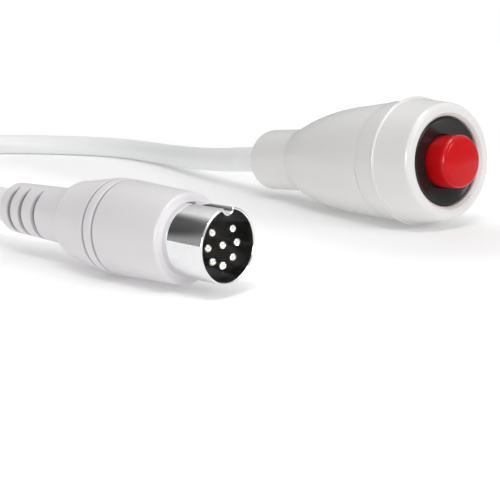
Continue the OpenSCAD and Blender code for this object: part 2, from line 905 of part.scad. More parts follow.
module plug_shell() {
    inner_r = plug_shell_r - plug_shell_wall;
    long = plug_shell_len + plug_shell_inner_len;
    color("silver") on_plug() translate([0, 0, -plug_shell_inner_len]) union() {
        difference() {
            union() {
                cylinder(r = shell_seat_r, h = plug_shell_inner_len + cut);
                translate([0, 0, plug_shell_inner_len])
                    cylinder(r = plug_shell_r, h = plug_shell_len);
            }
            translate([0, 0, -cut]) cylinder(r = inner_r, h = long + 2 * cut);
            translate([-plug_shell_r, 0, plug_shell_inner_len])
                cylinder(r = key_r, h = plug_shell_len + cut, $fn = 48);
        }
        intersection() {
            translate([0, 0, plug_shell_inner_len]) difference() {
                translate([-plug_shell_r, 0, 0])
                    cylinder(r = key_r + key_wall / 2, h = plug_shell_len, $fn = 48);
                translate([-plug_shell_r, 0, -cut])
                    cylinder(r = key_r - key_wall / 2, h = plug_shell_len + 2 * cut, $fn = 48);
            }
            cylinder(r = plug_shell_r - plug_shell_wall / 2, h = long);
        }
    }
}

// Places of the contact pins: one in the middle and seven round it, open towards the keyway
pin_places = concat(
    [[0, 0]],
    [for (i = [-3 : 3]) pin_circle_r * [cos(i * pin_step), sin(i * pin_step)]]
);

module plug_insert() {
    color([0.1, 0.1, 0.11]) on_plug() difference() {
        translate([0, 0, -insert_rear])
            cylinder(r = plug_shell_r - plug_shell_wall - snug, h = insert_rear + insert_front);
        translate([-plug_shell_r, 0, -snug])
            cylinder(r = key_r + key_wall, h = insert_front + cut, $fn = 48);
        for (p = pin_places)
            translate([p.x, p.y, -insert_rear - cut])
                cylinder(r = pin_r + snug, h = insert_rear + insert_front + 2 * cut, $fn = 32);
    }
}

module plug_pins() {
    pin_top = plug_shell_len - pin_inset - pin_r;
    color([0.9, 0.88, 0.8]) on_plug() for (p = pin_places) translate([p.x, p.y, 0]) union() {
        translate([0, 0, -pin_tail]) cylinder(r = pin_r, h = pin_tail + pin_top, $fn = 32);
        translate([0, 0, pin_top]) sphere(r = pin_r, $fn = 32);
    }
}

module plug_crimp_cage() {
    ring_low = -insert_rear - snug - cage_ring_len;
    bore = cord_r + snug;
    color("silver") on_plug() union() {
        collar_ring(cage_r, cage_r - cage_ring_wall, ring_low, -insert_rear - snug);
        for (side = [-1, 1])
            intersection() {
                collar_ring(cage_r, cage_r - cage_arm_t, -cage_wall_z - cage_wall_t / 2, ring_low + cage_wall_t);
                translate([-cage_arm_w / 2, side > 0 ? 0 : -cage_r - cut, -cage_wall_z - cut])
                    cube([cage_arm_w, cage_r + cut, cage_wall_z]);
            }
        collar_ring(cage_r, bore, cage_end, -cage_wall_z);
        collar_ring(crimp_r, bore, crimp_end, -cage_wall_z - cage_wall_t / 2);
    }
}

module plug_inner_sleeve() {
    outer_r = cage_r - cage_ring_wall - snug;
    front = -insert_rear - 2 * snug - cage_ring_len;
    color("beige") on_plug()
        collar_ring(outer_r, outer_r - sleeve_wall_plug, -cage_wall_z + snug, front);
}

module plug_leads() {
    color("firebrick") on_plug() for (side = [-1, 1])
        let (pin = pin_circle_r * [cos(pin_step), side * sin(pin_step)])
        tube(
            [
                [pin.x, pin.y, -pin_tail - snug],
                [pin.x, pin.y, -pin_tail - lead_bend_len / 2],
                [pin.x / 2, (pin.y + side * plug_lead_at_cord) / 2, -(pin_tail + plug_jacket_z) / 2],
                [0, side * plug_lead_at_cord, lead_bend_len / 2 - plug_jacket_z],
                [0, side * plug_lead_at_cord, snug - plug_jacket_z]
            ],
            plug_lead_r,
            8,
            [1, 0, 0]
        );
}

module plug_cord_end() {
    color("whitesmoke") on_plug()
        translate([0, 0, -grip_len]) cylinder(r = cord_r, h = grip_len - plug_jacket_z);
}

front_collar();
body_shell();
collar_seal();
bezel_barrel();
bezel_gasket();
lock_washer();
hex_nut();
button_cap();
plunger_stem();
stem_clip();
return_spring();
contact_bridge();
terminal_base();
solder_terminals();
lead_red();
lead_white();
shrink_sleeves();
cord_ferrule();
cord_grommet();
cord_inner_end();
cord_lead();
cord_coil();
coil_ties();
cord_run();
plug_grip();
plug_shell();
plug_insert();
plug_pins();
plug_crimp_cage();
plug_inner_sleeve();
plug_leads();
plug_cord_end();
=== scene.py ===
from math import acos, asin, atan2, cos, degrees, pi, radians, sin, tan

import bmesh
import bpy
from mathutils import Matrix, Vector


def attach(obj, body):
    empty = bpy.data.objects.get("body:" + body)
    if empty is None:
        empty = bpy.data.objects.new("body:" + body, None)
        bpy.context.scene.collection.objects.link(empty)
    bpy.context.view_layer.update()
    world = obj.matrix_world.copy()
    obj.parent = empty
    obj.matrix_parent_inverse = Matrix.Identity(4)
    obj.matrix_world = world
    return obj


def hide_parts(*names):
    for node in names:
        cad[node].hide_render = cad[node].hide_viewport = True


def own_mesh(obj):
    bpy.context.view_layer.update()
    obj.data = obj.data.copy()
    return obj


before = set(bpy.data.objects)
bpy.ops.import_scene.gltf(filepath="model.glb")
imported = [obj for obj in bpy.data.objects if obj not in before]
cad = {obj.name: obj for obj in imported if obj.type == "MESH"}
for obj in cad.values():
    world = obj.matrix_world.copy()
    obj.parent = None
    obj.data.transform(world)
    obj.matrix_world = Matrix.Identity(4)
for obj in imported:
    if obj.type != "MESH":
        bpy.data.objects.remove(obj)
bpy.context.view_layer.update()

MM = 0.001
TINY = 1e-6
scene = bpy.context.scene


# Camera

def look_from(position, ahead, side, lens):
    """A camera at a place in millimetres, with its view and its right-hand side given as directions."""
    ahead, side = Vector(ahead).normalized(), Vector(side).normalized()
    up = side.cross(ahead)
    data = bpy.data.cameras.new("camera")
    data.lens = lens
    data.sensor_width = 36
    data.clip_start = 0.01
    data.clip_end = 20
    camera = bpy.data.objects.new("camera", data)
    camera.matrix_world = Matrix.Translation(Vector(position) * MM) @ Matrix(
        (side, up, -ahead)).transposed().to_4x4()
    scene.collection.objects.link(camera)
    scene.camera = camera


look_from((185.81, -165.89, 42.96), (-0.79458, 0.57027, -0.2084), (0.58361, 0.81203, -0.00312), 72)


# Outlines of turned pieces, as points (radius, height along the axis)

def arc(centre, r, start, stop, steps=14):
    turns = [radians(start + (stop - start) * i / steps) for i in range(steps + 1)]
    return [(centre[0] + r * cos(a), centre[1] + r * sin(a)) for a in turns]


def tangent_angle(a, ra, b, rb):
    """Direction, in degrees, of the normal of the line that touches two circles on one side."""
    away = Vector(b) - Vector(a)
    return degrees(atan2(away.y, away.x) + acos((ra - rb) / away.length))


def eased(outline, size=0.12, limit=22, share=0.4, steps=3):
    """The outline with each corner above the limit in degrees broken by a small round, which takes at most a
    share of its sides."""
    soft = []
    count = len(outline)
    for i, corner in enumerate(outline):
        here = Vector(corner)
        back = Vector(outline[i - 1]) - here
        on = Vector(outline[(i + 1) % count]) - here
        if back.length < TINY or on.length < TINY:
            continue
        if corner[0] < TINY or pi - back.angle(on) < radians(limit):
            soft.append(corner)
            continue
        start = here + back.normalized() * min(size, share * back.length)
        stop = here + on.normalized() * min(size, share * on.length)
        for k in range(steps + 1):
            t = k / steps
            point = (1 - t) ** 2 * start + 2 * t * (1 - t) * here + t ** 2 * stop
            soft.append(tuple(point))
    return soft


# Sizes of the handset, in millimetres and degrees, named as in the solids' source. R is a radius, T a
# thickness and W a width, and heights are from the collar's face

# Gaps: held still, sliding, and free all round
SNUG = 0.05
RUNNING = 0.08
GAP = 0.15
# Button, its stem and its spring
CAP_R = 5.9
CAP_PROUD = 4
CAP_CROWN = 0.35
CAP_ROUND = 1.2
CAP_DEPTH = 6
CAP_WALL = 1.2
CAP_EDGE = 0.1
CAP_TOP_T = 2.2
CAP_BOSS_WALL = 0.7
CAP_BOSS_LEN = 3.6
STEM_R = 2
SPRING_R = 3.7
SPRING_WIRE_R = 0.3
SPRING_CURLS = 6
CURL_STEPS = 48
PRESS_TRAVEL = 2.5
STOP_GAP = 0.4
# Bezel and its threaded barrel
BARREL_WALL = 1.95
BARREL_REAR_WALL = 1.4
BARREL_LEN = 18
GUIDE_T = 1.8
THREAD_DEPTH = 0.25
THREAD_PITCH = 1
THREAD_RUN_OUT = 0.6
BEZEL_FLANGE_W = 2
BEZEL_SUNK = 0.8
BEZEL_T = 2.6
BEZEL_ROUND = 0.5
DISH_DEPTH = 1.6
DISH_BOW = 0.45
DISH_STEPS = 9
RIM_FROM = 130
# Collar, with the panel that carries the switch, and the bead and lip at its heel
MOUTH_CHAMFER = 0.7
GASKET_T = 0.6
PANEL_T = 2.4
NUT_WALL = 1
NUT_ROOM = 0.7
SPIGOT_WALL = 1.1
SPIGOT_GAP = 0.2
JOINT_GAP = 0.1
COLLAR_WALL = 2.56
FACE_RING_W = 3.2
COLLAR_LEN = 10
COLLAR_ROUND = 1.3
HEEL_ROUND = 0.5
BEAD_ROUND = 0.38
BEAD_FROM = 76
LIP_DEPTH = 0.36
LIP_LEN = 0.42
# Shell, from the seal's groove and the band to the tail
SEAL_AT = 1.3
SEAL_GROOVE_W = 1.2
SEAL_GROOVE_DEPTH = 0.7
BAND_STEP = 2
BAND_LEN = 6
BAND_TAPER = 0.2
LINE_W = 0.35
LINE_DEPTH = 0.35
CONE_STEP = 0.15
SHOULDER_DROP = 1
SHOULDER_AT = 27.5
SHOULDER_CURVE_R = 75
NECK_CURVE_R = 8
TAIL_R = 8.1
TAIL_LEN = 14.4
TAIL_ROUND = 2.3
TAIL_LIP_T = 1.4
STEP_TO_TAIL = 14.5
CHAMBER_END = 29

BORE_R = CAP_R + GAP
BARREL_R = BORE_R + BARREL_WALL
BARREL_REAR_R = BARREL_R - BARREL_REAR_WALL
BEZEL_R = BARREL_R + BEZEL_FLANGE_W
MOUTH_R = BEZEL_R + GAP
CHAMBER_R = (BARREL_R + NUT_WALL) / cos(radians(30)) + NUT_ROOM
SPIGOT_R = CHAMBER_R + SPIGOT_WALL
JOINT_R = SPIGOT_R + JOINT_GAP
COLLAR_REAR_R = JOINT_R + COLLAR_WALL
COLLAR_FRONT_R = BEZEL_R + FACE_RING_W
BAND_R = SPIGOT_R + BAND_STEP
CONE_START_R = BAND_R - BAND_TAPER - CONE_STEP
SHOULDER_R = BAND_R - SHOULDER_DROP
PANEL_FRONT = -BEZEL_T - GASKET_T
PANEL_REAR = PANEL_FRONT - PANEL_T
SPIGOT_FRONT = PANEL_REAR - SPIGOT_GAP
BARREL_END = -BEZEL_T - BARREL_LEN
BAND_END = COLLAR_LEN + BAND_LEN
CAP_UNDER = CAP_PROUD - CAP_TOP_T
GUIDE_TOP = -CAP_DEPTH - PRESS_TRAVEL - STOP_GAP
GUIDE_BOTTOM = GUIDE_TOP - GUIDE_T

collar_edge = (COLLAR_FRONT_R - COLLAR_ROUND, -COLLAR_ROUND)
heel = (COLLAR_REAR_R - HEEL_ROUND, HEEL_ROUND - COLLAR_LEN)
collar_slope = tangent_angle(collar_edge, COLLAR_ROUND, heel, HEEL_ROUND)
cone_slope = degrees(atan2(CONE_START_R - SHOULDER_R, SHOULDER_AT - BAND_END - LINE_W))
shoulder = (SHOULDER_R - SHOULDER_CURVE_R * cos(radians(cone_slope)),
            SHOULDER_CURVE_R * sin(radians(cone_slope)) - SHOULDER_AT)
neck_turn = degrees(acos((TAIL_R + NECK_CURVE_R - shoulder[0]) / (SHOULDER_CURVE_R + NECK_CURVE_R)))
neck = arc(shoulder, SHOULDER_CURVE_R + NECK_CURVE_R, -neck_turn, -neck_turn, 1)[0]
HANDSET_LEN = TAIL_LEN - neck[1]
STEP_Z = STEP_TO_TAIL - HANDSET_LEN


def bell_outline(steps, neck_steps):
    """The shell from its cone over the shoulder to the tail."""
    return [(CONE_START_R, -BAND_END - LINE_W)] + arc(
        shoulder, SHOULDER_CURVE_R, -cone_slope, -neck_turn, steps) + arc(
        neck, NECK_CURVE_R, 180 - neck_turn, 180, neck_steps)


# How the handset lies: on the collar's rear edge and on its belly, over the frame's origin

tilt = min(atan2(COLLAR_REAR_R - r, heel[1] - z) for r, z in bell_outline(16, 6))
collar_points = arc(heel, HEEL_ROUND, collar_slope, -90, 6)
lift = max(r * cos(tilt) - z * sin(tilt) for r, z in collar_points + bell_outline(16, 6))
cap_edge = (CAP_R - CAP_ROUND, CAP_PROUD - CAP_ROUND)
crown_r = (cap_edge[0] ** 2 + CAP_CROWN ** 2) / (2 * CAP_CROWN)
crown = (0, CAP_PROUD + CAP_CROWN - crown_r)
crown_edge = 90 - degrees(asin(cap_edge[0] / crown_r))
cap_points = arc(crown, crown_r, 90, crown_edge, 6) + arc(cap_edge, CAP_ROUND, crown_edge, 0, 6)
tail_edge = (TAIL_R - TAIL_ROUND, TAIL_ROUND - HANDSET_LEN)
tail_points = arc(tail_edge, TAIL_ROUND, 0, -90, 8)
reach = [max(z * cos(tilt) + r * sin(tilt) for r, z in cap_points),
         min(z * cos(tilt) - r * sin(tilt) for r, z in tail_points)]
FACE = Vector((-sum(reach) / 2, 0, lift))
ahead = Vector((cos(tilt), 0, sin(tilt)))
HANDSET = Matrix.Translation(FACE * MM) @ Matrix.Rotation(pi / 2 - tilt, 4, "Y")

# Sizes of the cord and its plug, in millimetres and degrees: the plug's heights are from the grip's face

# Cord, with what holds it in the tail
CORD_R = 3.5
GROMMET_WALL = 1.7
GROMMET_LIP_WALL = 1.1
POCKET_WALL = 2.6
POCKET_LEN = 6
STRAIGHT_LEN = 14
ROUTE_SPACING = 2
# Coil: its radius is its outermost turn's, and its start is a direction
COIL_CENTRE = Vector((-118, -108, 0))
COIL_R = 49
COIL_PITCH = 7.5
COIL_TURNS = 6.25
COIL_START = 200
COIL_STEPS = 72
CLIMB_TURNS = 0.5
# Ties round the coil, with places in turns, and the lap on top of each
TIE_T = 0.8
TIE_W = 9
TIE_PLAY = 0.15
TIE_ROUND = 3.2
TIE_PLACES = (0.425, 0.825)
TIE_TURNS_IN = 0.425
TIE_TURNS_OUT = 2.825
TIE_CHORD = 7.5
LAP_T = 0.86
LAP_GAP = 0.02
LAP_SHARE = 0.4
LAP_STEPS = 16
LAP_END_SHARE = 0.55
LAP_END_STEPS = 4
COIL_LOW = TIE_T + TIE_PLAY + CORD_R
# Plug: grip with rings, bulb and slotted relief, then metal shell and pins
PLUG_TAIL = Vector((-6, -86, 8.9))
PLUG_HEADING = 12
GRIP_LEN = 49.5
GRIP_R = 8.9
GRIP_LIP_W = 1.55
GRIP_ROUND = 0.7
RINGS = (15.9, 18.5)
RING_W = 0.7
RING_DEPTH = 0.45
BULB_R = 7.5
BULB_AT = 28
BULB_ROUND = 1.8
RELIEF_WALL = 2.1
RELIEF_END_WALL = 1.6
RELIEF_R = CORD_R + RELIEF_WALL
RELIEF_END_R = CORD_R + RELIEF_END_WALL
SLOTS = (38.2, 42.6, 46.4)
SLOT_W = 1.3
SLOT_DEPTH = 1.1
SLOT_SPAN = 66
SLOT_STEPS = 24
SLOT_END_SHARE = 0.35
SLOT_MARGIN = 0.9
CUT = 1
SHELL_R = 6.6
SHELL_LEN = 9.3
SHELL_WALL = 0.4
SHELL_STEP = 0.2
SHELL_INNER_LEN = 9
KEY_R = 1.3
KEY_WALL = 0.3
CRIMP_WALL = 0.7
CRIMP_R = CORD_R + CRIMP_WALL
CRIMP_END = -24.95
CAGE_END = -20.35
PIN_R = 0.725
PIN_RING_R = 3.5
PIN_STEP = 45
PIN_INSET = 1
PIN_TAIL = 8
PIN_EDGE = 0.1
# Leads in the plug and in the handset: bends as shares of the way down and of the way to the middle
PIN_LEAD_R = 0.55
PIN_LEAD_OUT = 1.3
PIN_LEAD_BEND = 2
PLUG_JACKET_END = -17
LEAD_R = 0.65
LEAD_OUT = 2.6
LEAD_TOP = -26.7
LEAD_AT_CORD = 1.1
LEAD_BENDS = ((0.2, 0.08), (0.45, 0.4), (0.7, 0.85), (0.85, 1))
LEAD_SPACING = 0.5
LEAD_SIDES = 14
SLEEVE_LOW = -32.2
JACKET_PAST_STEP = 8.4
JACKET_END = STEP_Z + JACKET_PAST_STEP

plug_ahead = Vector((cos(radians(PLUG_HEADING)), sin(radians(PLUG_HEADING)), 0))
PLUG_FACE = PLUG_TAIL + GRIP_LEN * plug_ahead
PLUG = (Matrix.Translation(PLUG_FACE * MM) @ Matrix.Rotation(radians(PLUG_HEADING), 4, "Z")
        @ Matrix.Rotation(radians(90), 4, "Y"))


# Objects

def new_piece(name, verts, edges, faces):
    """An object at the origin, in the scene, from points in metres."""
    mesh = bpy.data.meshes.new(name)
    mesh.from_pydata(verts, edges, faces)
    piece = bpy.data.objects.new(name, mesh)
    scene.collection.objects.link(piece)
    return piece


def run_modifiers(piece):
    """Leaves the result of a piece's modifiers as its mesh."""
    graph = bpy.context.evaluated_depsgraph_get()
    mesh = bpy.data.meshes.new_from_object(piece.evaluated_get(graph))
    piece.modifiers.clear()
    piece.data = mesh


# Node trees

class Signal:
    """The output of a node, which takes part in arithmetic."""

    def __init__(self, web, socket):
        self.web = web
        self.socket = socket

    def combine(self, operation, other, swapped=False):
        first, second = (other, self) if swapped else (self, other)
        return self.web.node("ShaderNodeMath", {"operation": operation}, {0: first, 1: second})

    def __add__(self, other):
        return self.combine("ADD", other)

    __radd__ = __add__

    def __sub__(self, other):
        return self.combine("SUBTRACT", other)

    def __rsub__(self, other):
        return self.combine("SUBTRACT", other, True)

    def __mul__(self, other):
        return self.combine("MULTIPLY", other)

    __rmul__ = __mul__


class Web:
    """A node tree that is built from expressions."""

    def __init__(self, tree):
        self.tree = tree
        tree.nodes.clear()

    def node(self, kind, settings=None, inputs=None, output=0):
        """One node, with its settings first and then the values or links of its sockets."""
        made = self.tree.nodes.new(kind)
        for key, value in (settings or {}).items():
            setattr(made, key, value)
        for key, value in (inputs or {}).items():
            socket = made.inputs[key]
            if isinstance(value, Signal):
                self.tree.links.new(value.socket, socket)
            else:
                socket.default_value = value
        return Signal(self, made.outputs[output]) if made.outputs else None

    def vector(self, operation, first, second, output=0):
        """Arithmetic on vectors."""
        inputs = {0: first} if second is None else {0: first, 1: second}
        return self.node("ShaderNodeVectorMath", {"operation": operation}, inputs, output)

    def band(self, value, low, high):
        """0 below low, 1 above high and smooth between."""
        return self.node("ShaderNodeMapRange", {"interpolation_type": "SMOOTHSTEP"}, {
            "Value": value, "From Min": low, "From Max": high})


class Growth(Web):
    """A Geometry Nodes tree with a start shape and named sizes, whose result becomes a plain mesh."""

    KINDS = {int: "NodeSocketInt", float: "NodeSocketFloat", bool: "NodeSocketBool"}

    def __init__(self, name, **sizes):
        super().__init__(bpy.data.node_groups.new(name, "GeometryNodeTree"))
        face = self.tree.interface
        face.new_socket("Start", in_out="INPUT", socket_type="NodeSocketGeometry")
        face.new_socket("Material", in_out="INPUT", socket_type="NodeSocketMaterial")
        for size, value in sizes.items():
            face.new_socket(size, in_out="INPUT", socket_type=self.KINDS[type(value)])
        face.new_socket("Result", in_out="OUTPUT", socket_type="NodeSocketGeometry")
        self.sizes = sizes
        self.given = self.tree.nodes.new("NodeGroupInput")

    def size(self, name):
        return Signal(self, self.given.outputs[name])

    def grow(self, piece, result, material):
        """Runs the tree on a piece and leaves the result as its mesh."""
        whole = self.node("GeometryNodeRealizeInstances", None, {0: result})
        dressed = self.node("GeometryNodeSetMaterial", None, {
            "Geometry": whole, "Material": self.size("Material")})
        self.node("NodeGroupOutput", None, {"Result": dressed})
        run = piece.modifiers.new("growth", "NODES")
        run.node_group = self.tree
        for socket in self.tree.interface.items_tree:
            if socket.in_out == "INPUT" and socket.name in self.sizes:
                run[socket.identifier] = self.sizes[socket.name]
            elif socket.name == "Material":
                run[socket.identifier] = material
        run_modifiers(piece)


# Mesh makers, with the angles in degrees above which an edge stays sharp

SHARP = 38
PLUG_SHARP = 35
TUBE_SHARP = 50


def settle(mesh, sharp):
    """Faces outward, smooth, with edges kept above an angle."""
    form = bmesh.new()
    form.from_mesh(mesh)
    bmesh.ops.recalc_face_normals(form, faces=form.faces)
    form.to_mesh(mesh)
    form.free()
    mesh.shade_smooth()
    mesh.set_sharp_from_angle(angle=radians(sharp))


def keep_mesh(name, verts, faces, place=Matrix.Identity(4), sharp=SHARP):
    """A smooth closed mesh object at the origin, from points in millimetres and their place."""
    piece = new_piece(name, [place @ (Vector(v) * MM) for v in verts], [], faces)
    settle(piece.data, sharp)
    return piece


def joined_rings(rings, closed=True):
    """Faces between rings of the same number of points, given as lists of point numbers."""
    faces = []
    for row, after in zip(rings, rings[1:] + rings[:1] if closed else rings[1:]):
        if row[0] == row[1] and after[0] == after[1]:
            continue
        for j in range(len(row)):
            k = (j + 1) % len(row)
            faces.append(list(dict.fromkeys([row[j], after[j], after[k], row[k]])))
    return faces


def turned_mesh(outline, segments):
    """Points and faces of a closed outline turned about the axis, with one point at each pole."""
    verts, rows = [], []
    for r, z in outline:
        if r < TINY:
            rows.append([len(verts)] * segments)
            verts.append((0, 0, z))
            continue
        rows.append(list(range(len(verts), len(verts) + segments)))
        for j in range(segments):
            a = 2 * pi * j / segments
            verts.append((r * cos(a), r * sin(a), z))
    return verts, joined_rings(rows)


def turned(name, outline, place=Matrix.Identity(4), segments=144, sharp=SHARP):
    return keep_mesh(name, *turned_mesh(outline, segments), place, sharp)


def smooth_route(points, spacing):
    """A smooth line through points: their places at about even spacing."""
    points = [Vector(p) for p in points]
    ends = [2 * points[0] - points[1]] + points + [2 * points[-1] - points[-2]]
    line = []
    for i in range(1, len(ends) - 2):
        a, b, c, d = ends[i - 1:i + 3]
        steps = max(1, round((c - b).length / spacing))
        gap = [max((q - p).length, TINY) ** 0.5 for p, q in ((a, b), (b, c), (c, d))]
        leave = ((b - a) / gap[0] - (c - a) / (gap[0] + gap[1]) + (c - b) / gap[1]) * gap[1]
        reach = ((c - b) / gap[1] - (d - b) / (gap[1] + gap[2]) + (d - c) / gap[2]) * gap[1]
        for k in range(steps):
            t = k / steps
            line.append((2 * t ** 3 - 3 * t ** 2 + 1) * b + (t ** 3 - 2 * t ** 2 + t) * leave
                        + (3 * t ** 2 - 2 * t ** 3) * c + (t ** 3 - t ** 2) * reach)
    return line + [points[-1]]


def along(name, lines, r, sides, material, place=Matrix.Identity(4)):
    """Round tubes along lines in millimetres, by Geometry Nodes, with the place on the skin kept as attributes:
    run, the length from the start, and skin, the place across the tube."""
    verts, edges = [], []
    for line in lines:
        edges += [(len(verts) + i, len(verts) + i + 1) for i in range(len(line) - 1)]
        verts += [place @ (Vector(p) * MM) for p in line]
    piece = new_piece(name, verts, edges, [])
    grown = Growth("tube_along_path", Radius=r * MM, Sides=sides)
    path = grown.node("GeometryNodeMeshToCurve", None, {"Mesh": grown.size("Start")})
    run = grown.node("GeometryNodeSplineParameter", output="Length") * (1 / MM)
    path = grown.node("GeometryNodeStoreNamedAttribute", {"data_type": "FLOAT", "domain": "POINT"}, {
        "Geometry": path, "Name": "run", "Value": run})
    circle = grown.node("GeometryNodeCurvePrimitiveCircle", {"mode": "RADIUS"}, {
        "Resolution": grown.size("Sides"), "Radius": grown.size("Radius")})
    across = grown.node("ShaderNodeVectorMath", {"operation": "SCALE"}, {
        0: grown.node("GeometryNodeInputPosition"), "Scale": 1 / MM})
    circle = grown.node("GeometryNodeStoreNamedAttribute", {"data_type": "FLOAT_VECTOR", "domain": "POINT"}, {
        "Geometry": circle, "Name": "skin", "Value": across})
    tube = grown.node("GeometryNodeCurveToMesh", None, {
        "Curve": path, "Profile Curve": circle, "Fill Caps": True})
    grown.grow(piece, tube, material)
    settle(piece.data, TUBE_SHARP)
    return piece


def repeated(piece, material, place, count, first, step, radius, with_middle=False):
    """Copies of a piece round its axis, by Geometry Nodes: the angles are in degrees and the radius in
    millimetres."""
    grown = Growth("copies_round_axis", Count=count, First=radians(first), Step=radians(step),
                   Radius=radius * MM, Middle=with_middle)
    angle = grown.size("First") + grown.node("GeometryNodeInputIndex") * grown.size("Step")
    cosine, sine = (grown.node("ShaderNodeMath", {"operation": kind}, {0: angle}) for kind in ("COSINE", "SINE"))
    spot = grown.node("ShaderNodeCombineXYZ", None, {
        0: cosine * grown.size("Radius"), 1: sine * grown.size("Radius")})
    turn = grown.node("ShaderNodeCombineXYZ", None, {2: angle})
    row = grown.node("GeometryNodePoints", None, {"Count": grown.size("Count"), "Position": spot})
    copies = grown.node("GeometryNodeInstanceOnPoints", None, {
        "Points": row, "Instance": grown.size("Start"), "Rotation": turn})
    middle = grown.node("GeometryNodeSwitch", {"input_type": "GEOMETRY"}, {
        "Switch": grown.size("Middle"), "True": grown.size("Start")})
    both = grown.tree.nodes.new("GeometryNodeJoinGeometry")
    for part in (copies, middle):
        grown.tree.links.new(part.socket, both.inputs[0])
    grown.grow(piece, Signal(grown, both.outputs[0]), material)
    piece.data.transform(place)
    settle(piece.data, SHARP)
    return piece


# Materials: colours as shares of light, and the depth that light goes under a skin in metres

SKIN_DEPTH = (0.002, 0.0018, 0.0016)
# Painted shade for the plug's grooves and slots: its colour, how much of it, and the length in millimetres over
# which it fades at each end
RECESS_SHADE = (0.2, 0.19, 0.2)
RECESS_SHADE_SHARE = 0.75
RECESS_SHADE_FADE = 0.2


class Finish(Web):
    """A material that is built from expressions."""

    def __init__(self, name):
        self.material = bpy.data.materials.new(name)
        self.material.use_nodes = True
        super().__init__(self.material.node_tree)

    def place(self, stretch=(1, 1, 1)):
        """A place on the piece, in millimetres."""
        where = self.node("ShaderNodeTexCoord", output="Object")
        return self.node("ShaderNodeMapping", None, {"Vector": where, "Scale": [s / MM for s in stretch]})

    def noise(self, scale, detail=3, roughness=0.55, where=None):
        """Noise with so many lumps to the millimetre, from 0 to 1."""
        return self.node("ShaderNodeTexNoise", None, {
            "Vector": where or self.place(), "Scale": scale, "Detail": detail, "Roughness": roughness})

    def blend(self, share, first, second):
        """A colour between two others."""
        def colour(c):
            return c if isinstance(c, Signal) else (*c, 1)
        return self.node("ShaderNodeMix", {"data_type": "RGBA"}, {
            0: share, 6: colour(first), 7: colour(second)}, 2)

    def bump(self, height, depth):
        """A normal from heights in millimetres."""
        return self.node("ShaderNodeBump", None, {"Height": height, "Distance": depth * MM})

    def skin(self, **sockets):
        """The surface, with names of its sockets in words joined by underscores."""
        inputs = {}
        for key, value in sockets.items():
            name = key.replace("_", " ").title().replace("Ior", "IOR")
            colour = name.endswith(("Color", "Tint")) and not isinstance(value, Signal)
            inputs[name] = (*value, 1) if colour else value
        surface = self.node("ShaderNodeBsdfPrincipled", None, inputs)
        self.node("ShaderNodeOutputMaterial", None, {"Surface": surface})
        return self.material


def moulded(name, colour, shade, roughness, grain=0.006, scuffs=0.5, under_skin=0.0, gloss=0.5,
            gloss_colour=(1, 1, 1), skin_depth=SKIN_DEPTH, wear=1.0, shade_in_recesses=None):
    """Moulded plastic: faint clouds in its colour, a fine skin, rubbed patches and a few hairline scuffs, and
    painted shade in recesses where a mask for it is given.
    """
    f = Finish(name)
    clouds = f.noise(0.05, 2, 0.4)
    specks = f.band(f.noise(2.4, 2), 0.74, 0.82)
    rubbed = f.band(f.noise(0.1, 3, 0.5), 0.5, 0.75)
    hair = f.band(f.noise(0.55, 3, 0.6, f.place((0.35, 4, 4))), 0.68, 0.76) * rubbed * scuffs
    tone = f.blend(clouds, colour, shade)
    tone = f.blend(specks * 0.1, tone, [0.86 * c for c in shade])
    # Painted shade: the colour is darkened where the recess mask is 1.
    if shade_in_recesses:
        tone = f.blend(shade_in_recesses(f) * RECESS_SHADE_SHARE, tone, RECESS_SHADE)
    skin_height = f.noise(1.1, 3) * 0.7 + f.noise(5, 2) * 0.3 - hair * wear
    return f.skin(
        base_color=tone,
        roughness=roughness + (rubbed * 0.06 + hair * 0.12 + clouds * 0.03) * wear,
        specular_ior_level=gloss,
        specular_tint=gloss_colour,
        subsurface_weight=under_skin,
        subsurface_radius=skin_depth,
        normal=f.bump(skin_height, grain),
    )


def plug_recess_shade(f):
    """The rings' grooves and the slots of the plug's grip, where shade is painted into the colour: 1 in them and
    0 elsewhere.
    """
    off = f.vector("SUBTRACT", f.node("ShaderNodeTexCoord", output="Object"), PLUG_FACE * MM)
    back = f.vector("DOT_PRODUCT", off, -plug_ahead, "Value") * (1 / MM)
    r = f.vector("LENGTH", f.vector("CROSS_PRODUCT", off, plug_ahead), None, "Value") * (1 / MM)

    def groove(places, reach, deep, shallow):
        start, stop = places[0] - reach, places[-1] + reach
        return f.band(back, start, start + RECESS_SHADE_FADE) * (1 - f.band(back, stop - RECESS_SHADE_FADE, stop)) * (
            1 - f.band(r, deep, shallow))

    return groove(RINGS, reach=0.7, deep=GRIP_R - 0.4, shallow=GRIP_R - 0.05) + groove(
        SLOTS, reach=1.4, deep=RELIEF_END_R - 0.5, shallow=RELIEF_END_R)


def metal(name, colour, shade, roughness, brushed=(1, 1, 1), depth=0.004, stain=(0.3, 0.26, 0.2)):
    """Plated or plain metal: fine lines, a duller patch here and there, and a little stain."""
    f = Finish(name)
    lines = f.noise(2, 4, 0.7, f.place(brushed))
    dull = f.band(f.noise(0.25, 4, 0.6), 0.48, 0.7)
    stained = f.band(f.noise(0.6, 5, 0.65), 0.62, 0.78) * 0.2
    tone = f.blend(stained, f.blend(dull * 0.6, colour, shade), stain)
    return f.skin(
        base_color=tone,
        metallic=1.0 - stained * 0.2,
        roughness=roughness + lines * 0.06 + dull * 0.06,
        normal=f.bump(lines, depth),
    )


def rubber(name, colour, shade):
    """Dull rubber with a bloom and fine pores."""
    f = Finish(name)
    bloom = f.noise(0.4, 5, 0.65)
    pores = f.noise(4, 3)
    return f.skin(
        base_color=f.blend(bloom, colour, shade),
        roughness=0.6 + bloom * 0.2,
        specular_ior_level=0.35,
        normal=f.bump(pores, 0.02),
    )


